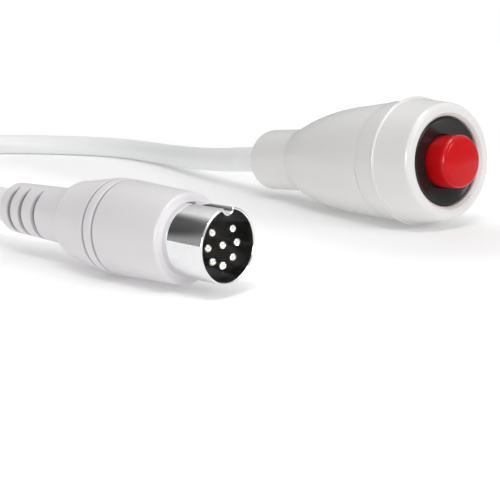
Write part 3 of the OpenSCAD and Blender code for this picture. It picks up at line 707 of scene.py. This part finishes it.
def drawn_jacket(name, colour, worn, roughness=0.36):
    """A soft jacket: long faint drawing lines, a slight ripple over the cores, and rubbed places."""
    f = Finish(name)
    run = f.node("ShaderNodeAttribute", {"attribute_name": "run"}, output="Fac")
    skin = f.node("ShaderNodeAttribute", {"attribute_name": "skin"}, output="Vector")
    drawn = f.vector("ADD", skin, f.node("ShaderNodeCombineXYZ", None, {2: run * 0.02}))
    lines = f.noise(1.6, 3, 0.6, drawn)
    ripple = f.noise(0.3, 2)
    fine = f.noise(3.5, 3)
    grime = f.band(f.noise(0.05, 5, 0.65), 0.52, 0.8)
    tone = f.blend(grime * 0.4, colour, worn)
    tone = f.blend(lines * 0.12, tone, [0.85 * c for c in worn])
    return f.skin(
        base_color=tone,
        roughness=roughness + grime * 0.12 + lines * 0.06,
        subsurface_weight=0.06,
        subsurface_radius=SKIN_DEPTH,
        normal=f.bump(ripple * 0.6 + lines * 0.25 + fine * 0.15, 0.04),
    )


def woven_strap():
    """Hook-and-loop strap: a napped weave."""
    f = Finish("strap_black")
    ribs = f.node("ShaderNodeTexWave", {"wave_type": "BANDS", "bands_direction": "Z"}, {
        "Vector": f.place(), "Scale": 0.35, "Distortion": 2, "Detail": 2})
    nap = f.noise(3, 4, 0.7)
    lint = f.band(f.noise(5, 2), 0.74, 0.8)
    tone = f.blend(nap, (0.02, 0.02, 0.022), (0.07, 0.07, 0.075))
    return f.skin(
        base_color=f.blend(lint * 0.5, tone, (0.3, 0.3, 0.3)),
        roughness=0.85 + nap * 0.1,
        sheen_weight=0.3,
        normal=f.bump(ribs * 0.5 + nap * 0.5, 0.15),
    )


HANDSET_WHITE = moulded("handset_white", (0.722, 0.715, 0.707), (0.71, 0.703, 0.695),
                        roughness=0.24, grain=0.0005, scuffs=0.1, wear=0.3)
PLUG_WHITE = moulded("plug_white", (0.71, 0.685, 0.705), (0.67, 0.65, 0.665),
                     roughness=0.3, grain=0.004, scuffs=0.3, under_skin=0.04, shade_in_recesses=plug_recess_shade)
BEZEL_BLACK = moulded("bezel_black", (0.012, 0.011, 0.0115), (0.018, 0.017, 0.017),
                      roughness=0.2, grain=0.003, scuffs=0.6, gloss=0.33, wear=0.5)
BUTTON_RED = moulded("button_red", (0.56, 0.006, 0.009), (0.52, 0.005, 0.008),
                     roughness=0.14, grain=0.002, scuffs=0.3, under_skin=0.7, gloss=0.22,
                     gloss_colour=(1, 0.9, 0.9), skin_depth=(0.009, 0.0005, 0.0005))
INSERT_BLACK = moulded("insert_black", (0.014, 0.014, 0.015), (0.022, 0.022, 0.024), roughness=0.35)
IVORY = moulded("ivory_plastic", (0.74, 0.7, 0.56), (0.68, 0.63, 0.5), roughness=0.4)
BASE_BROWN = moulded("base_brown", (0.09, 0.035, 0.016), (0.06, 0.025, 0.012), roughness=0.45, grain=0.01)
SLEEVE_DARK = moulded("sleeve_dark", (0.02, 0.02, 0.022), (0.03, 0.03, 0.033), roughness=0.5, grain=0.012)
CHROME = metal("plug_chrome", (0.8, 0.8, 0.81), (0.72, 0.72, 0.72), roughness=0.05, brushed=(0.3, 3, 3),
               depth=0.0006)
PIN_SILVER = metal("pin_silver", (0.85, 0.83, 0.78), (0.74, 0.71, 0.63), roughness=0.12, depth=0.001)
NICKEL = metal("nickel_plate", (0.62, 0.61, 0.58), (0.5, 0.49, 0.46), roughness=0.28)
BRASS = metal("brass_plain", (0.72, 0.53, 0.2), (0.58, 0.4, 0.14), roughness=0.3)
SPRING = metal("spring_wire", (0.5, 0.5, 0.5), (0.4, 0.39, 0.38), roughness=0.22, depth=0.003)
SEAL = rubber("seal_rubber", (0.03, 0.03, 0.032), (0.06, 0.06, 0.06))
GROMMET = rubber("grommet_rubber", (0.7, 0.7, 0.69), (0.62, 0.62, 0.6))
CORD = drawn_jacket("cord_white", (0.79, 0.795, 0.8), (0.7, 0.695, 0.685))
LEAD_RED = drawn_jacket("lead_red_skin", (0.5, 0.01, 0.012), (0.42, 0.01, 0.01), roughness=0.4)
LEAD_WHITE = drawn_jacket("lead_white_skin", (0.76, 0.76, 0.74), (0.7, 0.7, 0.67), roughness=0.4)
STRAP = woven_strap()


def dress(piece, material):
    piece.data.materials.clear()
    piece.data.materials.append(material)


def stand_in(piece, body, slot, material, *nodes):
    """Finishes a piece, and puts it in place of its CAD nodes."""
    dress(piece, material)
    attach(piece, body)
    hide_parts(*nodes)
    return piece


# Cord: out of the handset, round its coil and to the plug

CORD_EXIT = FACE - HANDSET_LEN * ahead

LEAD_ROUTE = [
    (-62, 1.2, 7), (-76, 3.6, 5.8), (-92, 6.8, 4.7), (-107, 9.2, 3.9), (-121, 10, 3.6),
    (-134, 8.8, 3.5), (-146, 4.8, 3.5), (-157, -1.8, 3.5), (-167, -10.4, 3.5),
    (-175.4, -20.6, 3.5), (-181.6, -32, 3.5), (-185.2, -44.4, 3.5), (-185.6, -57, 3.5),
    (-183.4, -70, 3.5), (-179.2, -83, 3.6), (-174.8, -95.2, 3.9),
]
RUN_ROUTE = [
    (-77.4, -143.8, 9.6), (-68.2, -136, 6.4), (-60.8, -126.6, 4.3), (-54, -116.8, 3.5),
    (-46.8, -107.4, 3.9), (-38.6, -99.4, 5.4), (-29.4, -93, 7.5),
]


def coil_point(turn):
    """A place on the coil, which winds inwards in its lower layer, climbs, and winds outwards above it."""
    a = radians(COIL_START + 360 * turn)
    r = COIL_R - COIL_PITCH * min(turn, COIL_TURNS - turn)
    climb = min(1, max(0, (turn - COIL_TURNS / 2) / CLIMB_TURNS + 0.5))
    z = COIL_LOW + COIL_PITCH * (1 - cos(pi * climb)) / 2
    return COIL_CENTRE + Vector((r * cos(a), r * sin(a), z))


def coil_ahead(turn):
    a = radians(COIL_START + 360 * turn + 90)
    return Vector((cos(a), sin(a), 0))


def cord_route():
    """The cord's centre line from end to end, in millimetres."""
    coil_in = coil_point(0) - 2 * CORD_R * coil_ahead(0)
    coil_out = coil_point(COIL_TURNS) + 2 * CORD_R * coil_ahead(COIL_TURNS)
    half = STRAIGHT_LEN / 2
    before = [CORD_EXIT, CORD_EXIT - half * ahead, CORD_EXIT - STRAIGHT_LEN * ahead]
    turns = [coil_point(i / COIL_STEPS) for i in range(round(COIL_TURNS * COIL_STEPS) + 1)]
    after = [PLUG_TAIL - STRAIGHT_LEN * plug_ahead, PLUG_TAIL - half * plug_ahead, PLUG_TAIL]
    lead = smooth_route(before + LEAD_ROUTE + [coil_in - CORD_R * coil_ahead(0), coil_in], ROUTE_SPACING)
    run = smooth_route([coil_out, coil_out + half * coil_ahead(COIL_TURNS)] + RUN_ROUTE + after, ROUTE_SPACING)
    return lead + turns + run


cord_line = cord_route()
cord = stand_in(along("cord_jacket", [cord_line], CORD_R, 24, CORD), "handset", "cord_jacket", CORD,
                "cord_lead", "cord_coil", "cord_run")


# Handset: collar, shell, bezel, button and grommet

def collar_outline():
    """The collar, with a fine bead at its heel behind a low lip."""
    bead = (COLLAR_REAR_R - BEAD_ROUND, BEAD_ROUND - COLLAR_LEN)
    slope = radians(collar_slope)
    lip = (bead[0] + BEAD_ROUND * cos(slope) - LIP_DEPTH - tan(slope) * LIP_LEN, bead[1] + LIP_LEN)
    hole_r = BARREL_R + GAP
    return eased(arc(collar_edge, COLLAR_ROUND, 90, collar_slope, 20) + [lip] + arc(
        bead, BEAD_ROUND, BEAD_FROM, -90, 14) + [
        (JOINT_R, -COLLAR_LEN), (JOINT_R, PANEL_REAR), (hole_r, PANEL_REAR), (hole_r, PANEL_FRONT),
        (MOUTH_R, PANEL_FRONT), (MOUTH_R, -MOUTH_CHAMFER), (MOUTH_R + MOUTH_CHAMFER, 0)])


def shell_outline():
    """The shell: band, groove, bell and tail, then the grommet's seat, the ferrule's pocket and the spigot."""
    groove_r = BAND_R - BAND_TAPER - LINE_DEPTH
    hole_r, seat_r, pocket_r = CORD_R + GROMMET_LIP_WALL, CORD_R + GROMMET_WALL, CORD_R + POCKET_WALL
    lip = TAIL_LIP_T - HANDSET_LEN
    seal_r, seal_low = SPIGOT_R - SEAL_GROOVE_DEPTH, SEAL_AT - COLLAR_LEN
    seal_high = seal_low + SEAL_GROOVE_W
    outside = [(BAND_R, -COLLAR_LEN), (BAND_R - BAND_TAPER, -BAND_END),
               (groove_r, -BAND_END), (groove_r, -BAND_END - LINE_W)]
    return eased(outside + bell_outline(40, 14) + arc(tail_edge, TAIL_ROUND, 0, -90, 14) + [
        (hole_r, -HANDSET_LEN), (hole_r, lip), (seat_r, lip), (seat_r, STEP_Z),
        (pocket_r, STEP_Z), (pocket_r, STEP_Z + POCKET_LEN), (CHAMBER_R, -CHAMBER_END),
        (CHAMBER_R, SPIGOT_FRONT), (SPIGOT_R, SPIGOT_FRONT), (SPIGOT_R, seal_high), (seal_r, seal_high),
        (seal_r, seal_low), (SPIGOT_R, seal_low), (SPIGOT_R, -COLLAR_LEN)], size=0.1)


def bezel_outline():
    """The bezel's dish and rim, the ridges of its thread, and its bore with the guide wall."""
    rim = (BEZEL_R - BEZEL_ROUND, -BEZEL_SUNK - BEZEL_ROUND)
    low = (BORE_R, -DISH_DEPTH)
    top = arc(rim, BEZEL_ROUND, RIM_FROM, RIM_FROM, 1)[0]
    dish = []
    for i in range(DISH_STEPS):
        t = i / DISH_STEPS
        rise = (1 - DISH_BOW) * t + DISH_BOW * t * t
        dish.append((low[0] + t * (top[0] - low[0]), low[1] + (top[1] - low[1]) * rise))
    ridges = []
    z = PANEL_REAR
    while z > BARREL_END + THREAD_RUN_OUT:
        ridges += [(BARREL_R, z), (BARREL_R - THREAD_DEPTH, z - THREAD_PITCH / 2)]
        z -= THREAD_PITCH
    guide_r = STEM_R + RUNNING
    return eased(dish + arc(rim, BEZEL_ROUND, RIM_FROM, 0, 12) + [
        (BEZEL_R, -BEZEL_T), (BARREL_R, -BEZEL_T)], size=0.1) + ridges + eased([
            (BARREL_R - THREAD_DEPTH, BARREL_END), (BARREL_REAR_R, BARREL_END), (BARREL_REAR_R, GUIDE_BOTTOM),
            (guide_r, GUIDE_BOTTOM), (guide_r, GUIDE_TOP), (BORE_R, GUIDE_TOP), low], size=0.08)


def cap_outline():
    """The button: its crowned face, its skirt, and inside it the boss that holds the stem."""
    face = arc(crown, crown_r, 90, crown_edge, 12)
    face[0] = (0, CAP_PROUD + CAP_CROWN)
    inner, boss_r, hole_r = CAP_R - CAP_WALL, STEM_R + CAP_BOSS_WALL, STEM_R + SNUG
    boss_end = CAP_UNDER - CAP_BOSS_LEN
    return face + arc(cap_edge, CAP_ROUND, crown_edge, 0, 18)[1:] + [
        (CAP_R, -CAP_DEPTH + CAP_EDGE), (CAP_R - CAP_EDGE, -CAP_DEPTH), (inner + CAP_EDGE, -CAP_DEPTH),
        (inner, -CAP_DEPTH + CAP_EDGE), (inner, CAP_UNDER), (boss_r, CAP_UNDER), (boss_r, boss_end),
        (hole_r, boss_end), (hole_r, CAP_UNDER), (0, CAP_UNDER)]


def grommet_outline():
    """The grommet, with its lip in the tail's opening."""
    bore, neck_r, rim_r = CORD_R + SNUG, CORD_R + GROMMET_LIP_WALL - SNUG, CORD_R + GROMMET_WALL - SNUG
    lip = TAIL_LIP_T + SNUG - HANDSET_LEN
    return eased([
        (bore, -HANDSET_LEN), (neck_r, -HANDSET_LEN), (neck_r, lip), (rim_r, lip),
        (rim_r, STEP_Z - SNUG), (bore, STEP_Z - SNUG)], size=0.25)


for name, outline, segments, sharp, body, slot, finish, node in (
        ("collar_ring", collar_outline(), 192, SHARP, "handset", "white_shell", HANDSET_WHITE, "front_collar"),
        ("shell_turning", shell_outline(), 192, SHARP, "handset", "white_shell", HANDSET_WHITE, "body_shell"),
        ("bezel_turning", bezel_outline(), 160, 30, "handset", "black_bezel", BEZEL_BLACK, "bezel_barrel"),
        ("button_turning", cap_outline(), 128, 45, "button", "red_button", BUTTON_RED, "button_cap"),
        ("grommet_turning", grommet_outline(), 96, SHARP, "handset", "pale_rubber", GROMMET, "cord_grommet")):
    stand_in(turned(name, outline, HANDSET, segments, sharp), body, slot, finish, node)


# Plug: grip, metal shell, insert, pins and leads

def grip_outline():
    """The grip's outside, with its rings as low steps, and its stepped bore."""
    front = (SHELL_R + GRIP_LIP_W - GRIP_ROUND, -GRIP_ROUND)
    bore, cord_hole = SHELL_R - SHELL_STEP + SNUG, CORD_R + SNUG
    slope = tangent_angle(front, GRIP_ROUND, (GRIP_R, -RINGS[0]), 0)
    outline = [(bore, 0)] + arc(front, GRIP_ROUND, 90, slope, 10)
    for place in RINGS:
        outline += [(GRIP_R - sunk * RING_DEPTH, -place + s * RING_W / 4)
                    for sunk, s in ((0, 2), (1, 1), (1, -1), (0, -2))]
    relief_at = BULB_AT + BULB_ROUND
    outline += arc((BULB_R - BULB_ROUND, -BULB_AT), BULB_ROUND, 10, -60, 12) + [(RELIEF_R, -relief_at)]
    fall = (RELIEF_R - RELIEF_END_R) / (GRIP_LEN - relief_at)
    for place in SLOTS:
        outline += [(RELIEF_R - fall * (place - relief_at + s), -place - s) for s in (-SLOT_MARGIN, SLOT_MARGIN)]
    return eased(outline + [
        (RELIEF_END_R, -GRIP_LEN + SNUG), (RELIEF_END_R, -GRIP_LEN), (cord_hole, -GRIP_LEN),
        (cord_hole, CRIMP_END), (CRIMP_R, CRIMP_END), (CRIMP_R, CAGE_END), (bore, CAGE_END)], size=0.12)


def cut_slots(piece):
    """Cuts the slots of the strain relief, which leave a web at the top and at the bottom."""
    verts, rings = [], []
    low, high, half = RELIEF_R - SLOT_DEPTH, RELIEF_R + CUT, SLOT_W / 2
    for i in range(SLOT_STEPS + 1):
        a = radians(90 - SLOT_SPAN + 2 * SLOT_SPAN * i / SLOT_STEPS)
        taper = min(1, SLOT_END_SHARE + 4 * min(i, SLOT_STEPS - i) / SLOT_STEPS)
        rings.append(list(range(len(verts), len(verts) + 4)))
        for r, z in ((low, -half), (high, -half), (high, half), (low, half)):
            verts.append((r * cos(a), r * sin(a), z * taper))
    faces = joined_rings(rings, False) + [rings[0], rings[-1]]
    cutters = []
    for place in SLOTS:
        cutter = keep_mesh("slot_cutter", verts, faces)
        cutters.append(repeated(cutter, None, PLUG @ Matrix.Translation((0, 0, -place * MM)),
                                count=2, first=0, step=180, radius=0))
    for cutter in cutters:
        cut = piece.modifiers.new("slots", "BOOLEAN")
        cut.operation = "DIFFERENCE"
        cut.solver = "EXACT"
        cut.object = cutter
    run_modifiers(piece)
    piece.data.set_sharp_from_angle(angle=radians(PLUG_SHARP))
    for cutter in cutters:
        bpy.data.objects.remove(cutter)
    return piece


grip = stand_in(cut_slots(turned("grip_moulding", grip_outline(), PLUG)), "handset", "plug_moulding",
                PLUG_WHITE, "plug_grip")


def arc_round(centre, r, start, stop, steps):
    """Points round a centre on the local x axis, with angles in radians."""
    return [(centre + r * cos(start + (stop - start) * i / steps),
             r * sin(start + (stop - start) * i / steps)) for i in range(steps + 1)]


def notched(r, key, steps=150, key_steps=24):
    """A circle with the round keyway let in on its low x side, both given by radius."""
    meet = pi - acos((r * r + SHELL_R ** 2 - key * key) / (2 * r * SHELL_R))
    corner = (r * cos(meet), r * sin(meet))
    turn = atan2(corner[1], corner[0] + SHELL_R)
    return arc_round(0, r, -meet, meet, steps)[:-1] + arc_round(-SHELL_R, key, turn, -turn, key_steps)[:-1]


def plug_tube():
    """The plug's shell: a thin tube with a rolled front edge, its keyway pressed in, and its inner part."""
    inner, trough, bed = SHELL_R - SHELL_WALL, KEY_R - KEY_WALL / 2, KEY_R + KEY_WALL / 2
    rim = SHELL_WALL / 2
    loops = [(0, 0, 0), (0, 0, SHELL_LEN - rim)]
    loops += [(rim * (1 - cos(a)), 0, SHELL_LEN - rim + rim * sin(a)) for a in (0.4, 0.8, 1.2)]
    verts, rings = [], []
    for inset, inside, z in loops + [(i, 1, z) for i, inside, z in reversed(loops)]:
        points = notched(inner + inset, bed - inset) if inside else notched(SHELL_R - inset, trough + inset)
        rings.append(list(range(len(verts), len(verts) + len(points))))
        verts += [(x, y, z) for x, y in points]
    faces = joined_rings(rings)
    rear_r = SHELL_R - SHELL_STEP
    seat = [(inner, SNUG), (rear_r, SNUG), (rear_r, -SHELL_INNER_LEN), (inner, -SHELL_INNER_LEN)]
    more, more_faces = turned_mesh(seat, 144)
    faces += [[i + len(verts) for i in face] for face in more_faces]
    return keep_mesh("shell_tube", verts + more, faces, PLUG, PLUG_SHARP)


def pin_outline():
    """One pin, with a round tip."""
    top = SHELL_LEN - PIN_INSET - PIN_R
    return [(0, top + PIN_R)] + arc((0, top), PIN_R, 75, 0, 6) + [
        (PIN_R, -PIN_TAIL + PIN_EDGE), (PIN_R - PIN_EDGE, -PIN_TAIL), (0, -PIN_TAIL)]


tube_of_plug = stand_in(plug_tube(), "handset", "plug_chrome", CHROME, "plug_shell")
pins = repeated(turned("pin_set", pin_outline(), segments=36), PIN_SILVER, PLUG,
                count=7, first=-135, step=PIN_STEP, radius=PIN_RING_R, with_middle=True)
stand_in(pins, "handset", "pin_plating", PIN_SILVER, "plug_pins")


def pin_lead(side):
    """Route of a lead from a pin to the end of the cord's jacket in the plug."""
    a, y = radians(PIN_STEP), side * PIN_LEAD_OUT
    pin = Vector((cos(a), side * sin(a), 0)) * PIN_RING_R
    return smooth_route([
        (pin.x, pin.y, -PIN_TAIL - SNUG), (pin.x, pin.y, -PIN_TAIL - PIN_LEAD_BEND),
        (pin.x / 2, (pin.y + y) / 2, (PLUG_JACKET_END - PIN_TAIL) / 2),
        (0, y, PLUG_JACKET_END + PIN_LEAD_BEND), (0, y, PLUG_JACKET_END + SNUG)], LEAD_SPACING)


pin_leads = stand_in(along("pin_leads", [pin_lead(1), pin_lead(-1)], PIN_LEAD_R, LEAD_SIDES, LEAD_RED, PLUG),
                     "handset", "red_lead", LEAD_RED, "plug_leads")


def switch_lead(side):
    """Route of a lead from its terminal to the end of the cord's jacket in the handset."""
    points = [(LEAD_OUT, LEAD_TOP), (LEAD_OUT, SLEEVE_LOW)]
    points += [(LEAD_OUT + (LEAD_AT_CORD - LEAD_OUT) * over, SLEEVE_LOW + (JACKET_END - SLEEVE_LOW) * down)
               for down, over in LEAD_BENDS]
    points.append((LEAD_AT_CORD, JACKET_END + SNUG))
    return smooth_route([(0, side * r, z) for r, z in points], LEAD_SPACING)


for side, wire, slot, skin, node in ((1, "red_wire", "red_lead", LEAD_RED, "lead_red"),
                                     (-1, "white_wire", "white_lead", LEAD_WHITE, "lead_white")):
    stand_in(along(wire, [switch_lead(side)], LEAD_R, LEAD_SIDES, skin, HANDSET), "handset", slot, skin, node)


# Return spring, which shortens as the button goes in

def spring_line(low, high):
    """The centre line of the wire between two heights."""
    steps = SPRING_CURLS * CURL_STEPS
    turns = [radians(360 * i / CURL_STEPS) for i in range(steps + 1)]
    return [(SPRING_R * cos(a), SPRING_R * sin(a), low + (high - low) * i / steps)
            for i, a in enumerate(turns)]


spring_seat = CAP_UNDER - SNUG
spring_wire = spring_line(GUIDE_TOP + SPRING_WIRE_R + SNUG, spring_seat - SPRING_WIRE_R)
spring = stand_in(along("spring_wire", [spring_wire], SPRING_WIRE_R, 12, SPRING, HANDSET),
                  "handset", "spring_steel", SPRING, "return_spring")
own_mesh(spring)


# Straps round the coil

def rounded_box(low, high, r, steps=8):
    """Points of a box with round corners, against the clock from its lower side's middle."""
    points = []
    for x, y, start in ((high[0] - r, low[1] + r, -90), (high[0] - r, high[1] - r, 0),
                        (low[0] + r, high[1] - r, 90), (low[0] + r, low[1] + r, 180)):
        points += arc((x, y), r, start, start + 90, steps)
    return points


def strap_band(points, thickness, width, closed):
    """A flat band outside a line of points, with soft edges: its corners and faces."""
    verts, rings = [], []
    count = len(points)
    for i, here in enumerate(points):
        back, on = (points[i - 1], points[(i + 1) % count]) if closed else (
            points[max(i - 1, 0)], points[min(i + 1, count - 1)])
        away = Vector((on[1] - back[1], back[0] - on[0])).normalized()
        reach = 1 if closed else min(1, (min(i, count - 1 - i) + 0.4) / LAP_END_STEPS)
        half = width / 2 * (LAP_END_SHARE + (1 - LAP_END_SHARE) * reach)
        rings.append(list(range(len(verts), len(verts) + 8)))
        soft, flat = 0.25 * thickness, 0.96
        for out, across in ((soft, -1), (thickness - soft, -1), (thickness, -flat), (thickness, flat),
                            (thickness - soft, 1), (soft, 1), (0, flat), (0, -flat)):
            verts.append((here[0] + out * away.x, across * half, here[1] + out * away.y))
    faces = joined_rings(rings, closed)
    if not closed:
        faces += [rings[0], rings[-1]]
    return verts, faces


def straps():
    """Two straps round the whole bundle, each with its end lapped over the top. They clear the solid coil too,
    whose flat sides each take twice TIE_CHORD degrees."""
    inner = COIL_R - COIL_PITCH * TIE_TURNS_OUT
    bow = TIE_W * (TIE_W / 2 + COIL_PITCH / pi) / 4 / inner + inner * (1 - cos(radians(TIE_CHORD)))
    play = CORD_R + TIE_PLAY
    low = (inner - bow - play, TIE_T)
    high = (COIL_R - COIL_PITCH * TIE_TURNS_IN + play, COIL_LOW + COIL_PITCH + play)
    verts, faces = strap_band(rounded_box(low, high, TIE_ROUND), TIE_T, TIE_W, True)
    top = high[1] + TIE_T + LAP_GAP
    start, stop = high[0] - TIE_ROUND, high[0] - LAP_SHARE * (high[0] - low[0])
    lap = [(start - (start - stop) * i / LAP_STEPS, top) for i in range(LAP_STEPS + 1)]
    more, more_faces = strap_band(lap, LAP_T, TIE_W, False)
    faces += [[i + len(verts) for i in face] for face in more_faces]
    piece = keep_mesh("strap_pair", verts + more, faces)
    return repeated(piece, STRAP, Matrix.Translation(COIL_CENTRE * MM), count=2,
                    first=COIL_START + 360 * TIE_PLACES[0], step=360 * (TIE_PLACES[1] - TIE_PLACES[0]), radius=0)


strap_pair = stand_in(straps(), "handset", "strap_fabric", STRAP, "coil_ties")


# Internal and carried-over pieces keep their CAD mesh

FINISHES = {
    "plug_insert": INSERT_BLACK, "plug_crimp_cage": NICKEL, "plug_inner_sleeve": IVORY, "plug_cord_end": CORD,
    "cord_inner_end": CORD, "cord_ferrule": BRASS, "shrink_sleeves": SLEEVE_DARK,
    "solder_terminals": PIN_SILVER, "terminal_base": BASE_BROWN, "contact_bridge": BRASS, "stem_clip": NICKEL,
    "plunger_stem": IVORY, "hex_nut": NICKEL, "lock_washer": NICKEL, "bezel_gasket": SEAL,
    "collar_seal": SEAL,
}
for node, finish in FINISHES.items():
    dress(cad[node], finish)

CORD_EXIT * MM
[p * MM for p in cord_line]


# Floor, light and background: places and sizes in metres

WHITE = (1, 1, 1, 1)
FLOOR_REACH = 4
FLOOR_Z = -0.0001
FLOOR_LIT = (0.8, 0.8, 0.8, 1)
FLOOR_GLOW = 0.32
FLOOR_SHOWN = (0.9, 0.9, 0.9)
# Painted shade on the floor: the darker colour the camera sees under the cord and the handset, the ends of the
# line it lies along, and the distances over which it fades out.
FLOOR_PAINTED_SHADE = (0.78, 0.78, 0.78)
UNDER_CORD = (-0.15, -0.008, 0)
UNDER_COLLAR = (0.033, -0.008, 0)
PAINTED_SHADE_FADE = (0.014, 0.038)
FLOOR_SHOWN_GLOW = 0.12
FLOOR_FAR_GLOW = 0.35
FLOOR_FAR = (0.1, 0.9)
PART_MIDDLE = (0.02, 0, 0.015)
BUTTON_MIDDLE = (0.03, 0, 0.015)


def seen_by(web, *rays):
    """1 for the named kinds of rays and 0 for the rest."""
    kinds = [web.node("ShaderNodeLightPath", output=f"Is {ray} Ray") for ray in rays]
    return sum(kinds[1:], kinds[0])


def floor():
    """A lit floor. The camera sees it as white away from the object. In a band under the handset and its cord its
    colour is darker, which is painted shade added to their cast shadow."""
    corners = [(x * FLOOR_REACH, y * FLOOR_REACH, FLOOR_Z) for x, y in ((-1, -1), (1, -1), (1, 1), (-1, 1))]
    piece = new_piece("floor", corners, [], [(0, 1, 2, 3)])
    f = Finish("floor_pale")
    place = f.node("ShaderNodeTexCoord", output="Object")
    # Painted shade: the floor's colour is darker within a band round the line under the cord and the handset.
    nearest = f.vector("MINIMUM", f.vector("MAXIMUM", place, UNDER_CORD), UNDER_COLLAR)
    clear = f.band(f.vector("DISTANCE", place, nearest, "Value"), *PAINTED_SHADE_FADE)
    glow = f.band(f.vector("LENGTH", place, None, "Value"), *FLOOR_FAR) * FLOOR_FAR_GLOW + FLOOR_SHOWN_GLOW

    def surface(colour, strength):
        return f.node("ShaderNodeAddShader", None, {
            0: f.node("ShaderNodeBsdfDiffuse", None, {"Color": colour}),
            1: f.node("ShaderNodeEmission", None, {"Color": WHITE, "Strength": strength})})

    both = f.node("ShaderNodeMixShader", None, {
        0: seen_by(f, "Camera", "Glossy", "Transmission"), 1: surface(FLOOR_LIT, FLOOR_GLOW),
        2: surface(f.blend(clear, FLOOR_PAINTED_SHADE, FLOOR_SHOWN), glow)})
    f.node("ShaderNodeOutputMaterial", None, {"Surface": both})
    piece.data.materials.append(f.material)


def softbox(name, place, target, size, watts, shine_only=False):
    """A rectangular soft light, aimed at a point. With shine_only it lights nothing, but shows in reflections."""
    data = bpy.data.lights.new(name, "AREA")
    data.shape = "RECTANGLE"
    data.size, data.size_y = size
    data.energy = watts
    lamp = bpy.data.objects.new(name, data)
    lamp.location = place
    lamp.rotation_euler = (Vector(target) - Vector(place)).to_track_quat("-Z", "Y").to_euler()
    lamp.visible_diffuse = not shine_only
    scene.collection.objects.link(lamp)


def surroundings(low, high, dark_way, dark_edge=(0.84, 0.97), dimming=0.85):
    """A soft bright room: white where it is seen, and as light paler overhead, with a dim corner to one side."""
    world = bpy.data.worlds.new("room")
    scene.world = world
    world.use_nodes = True
    w = Web(world.node_tree)
    way = w.node("ShaderNodeTexCoord", output="Generated")
    height = w.node("ShaderNodeSeparateXYZ", None, {0: way}, 2)
    corner = w.band(w.vector("DOT_PRODUCT", way, Vector(dark_way).normalized(), "Value"), *dark_edge)
    level = (low + (high - low) * height * height) * (1 - corner * dimming)
    strength = w.node("ShaderNodeMix", {"data_type": "FLOAT"}, {
        0: seen_by(w, "Camera", "Transmission"), 2: level, 3: 1.0})
    back = w.node("ShaderNodeBackground", None, {"Color": WHITE, "Strength": strength})
    w.node("ShaderNodeOutputWorld", None, {"Surface": back})


scene.view_settings.view_transform = "Standard"
floor()
surroundings(low=0.36, high=1.24, dark_way=(-0.6, -0.5, 0.45))
softbox("key", (1.2, 0.4, 0.6), PART_MIDDLE, size=(0.45, 0.4), watts=3.8)
softbox("overhead", (0.5, -0.4, 1.05), BUTTON_MIDDLE, size=(0.5, 0.14), watts=3.2)
softbox("window", (0.86, -0.8, 0.26), BUTTON_MIDDLE, size=(0.12, 0.25), watts=1.0)
softbox("side_card", (0.45, -0.95, 0.24), BUTTON_MIDDLE, size=(0.3, 0.4), watts=8, shine_only=True)
softbox("top_card", (0.1, -0.02, 1.1), BUTTON_MIDDLE, size=(0.45, 0.45), watts=7, shine_only=True)
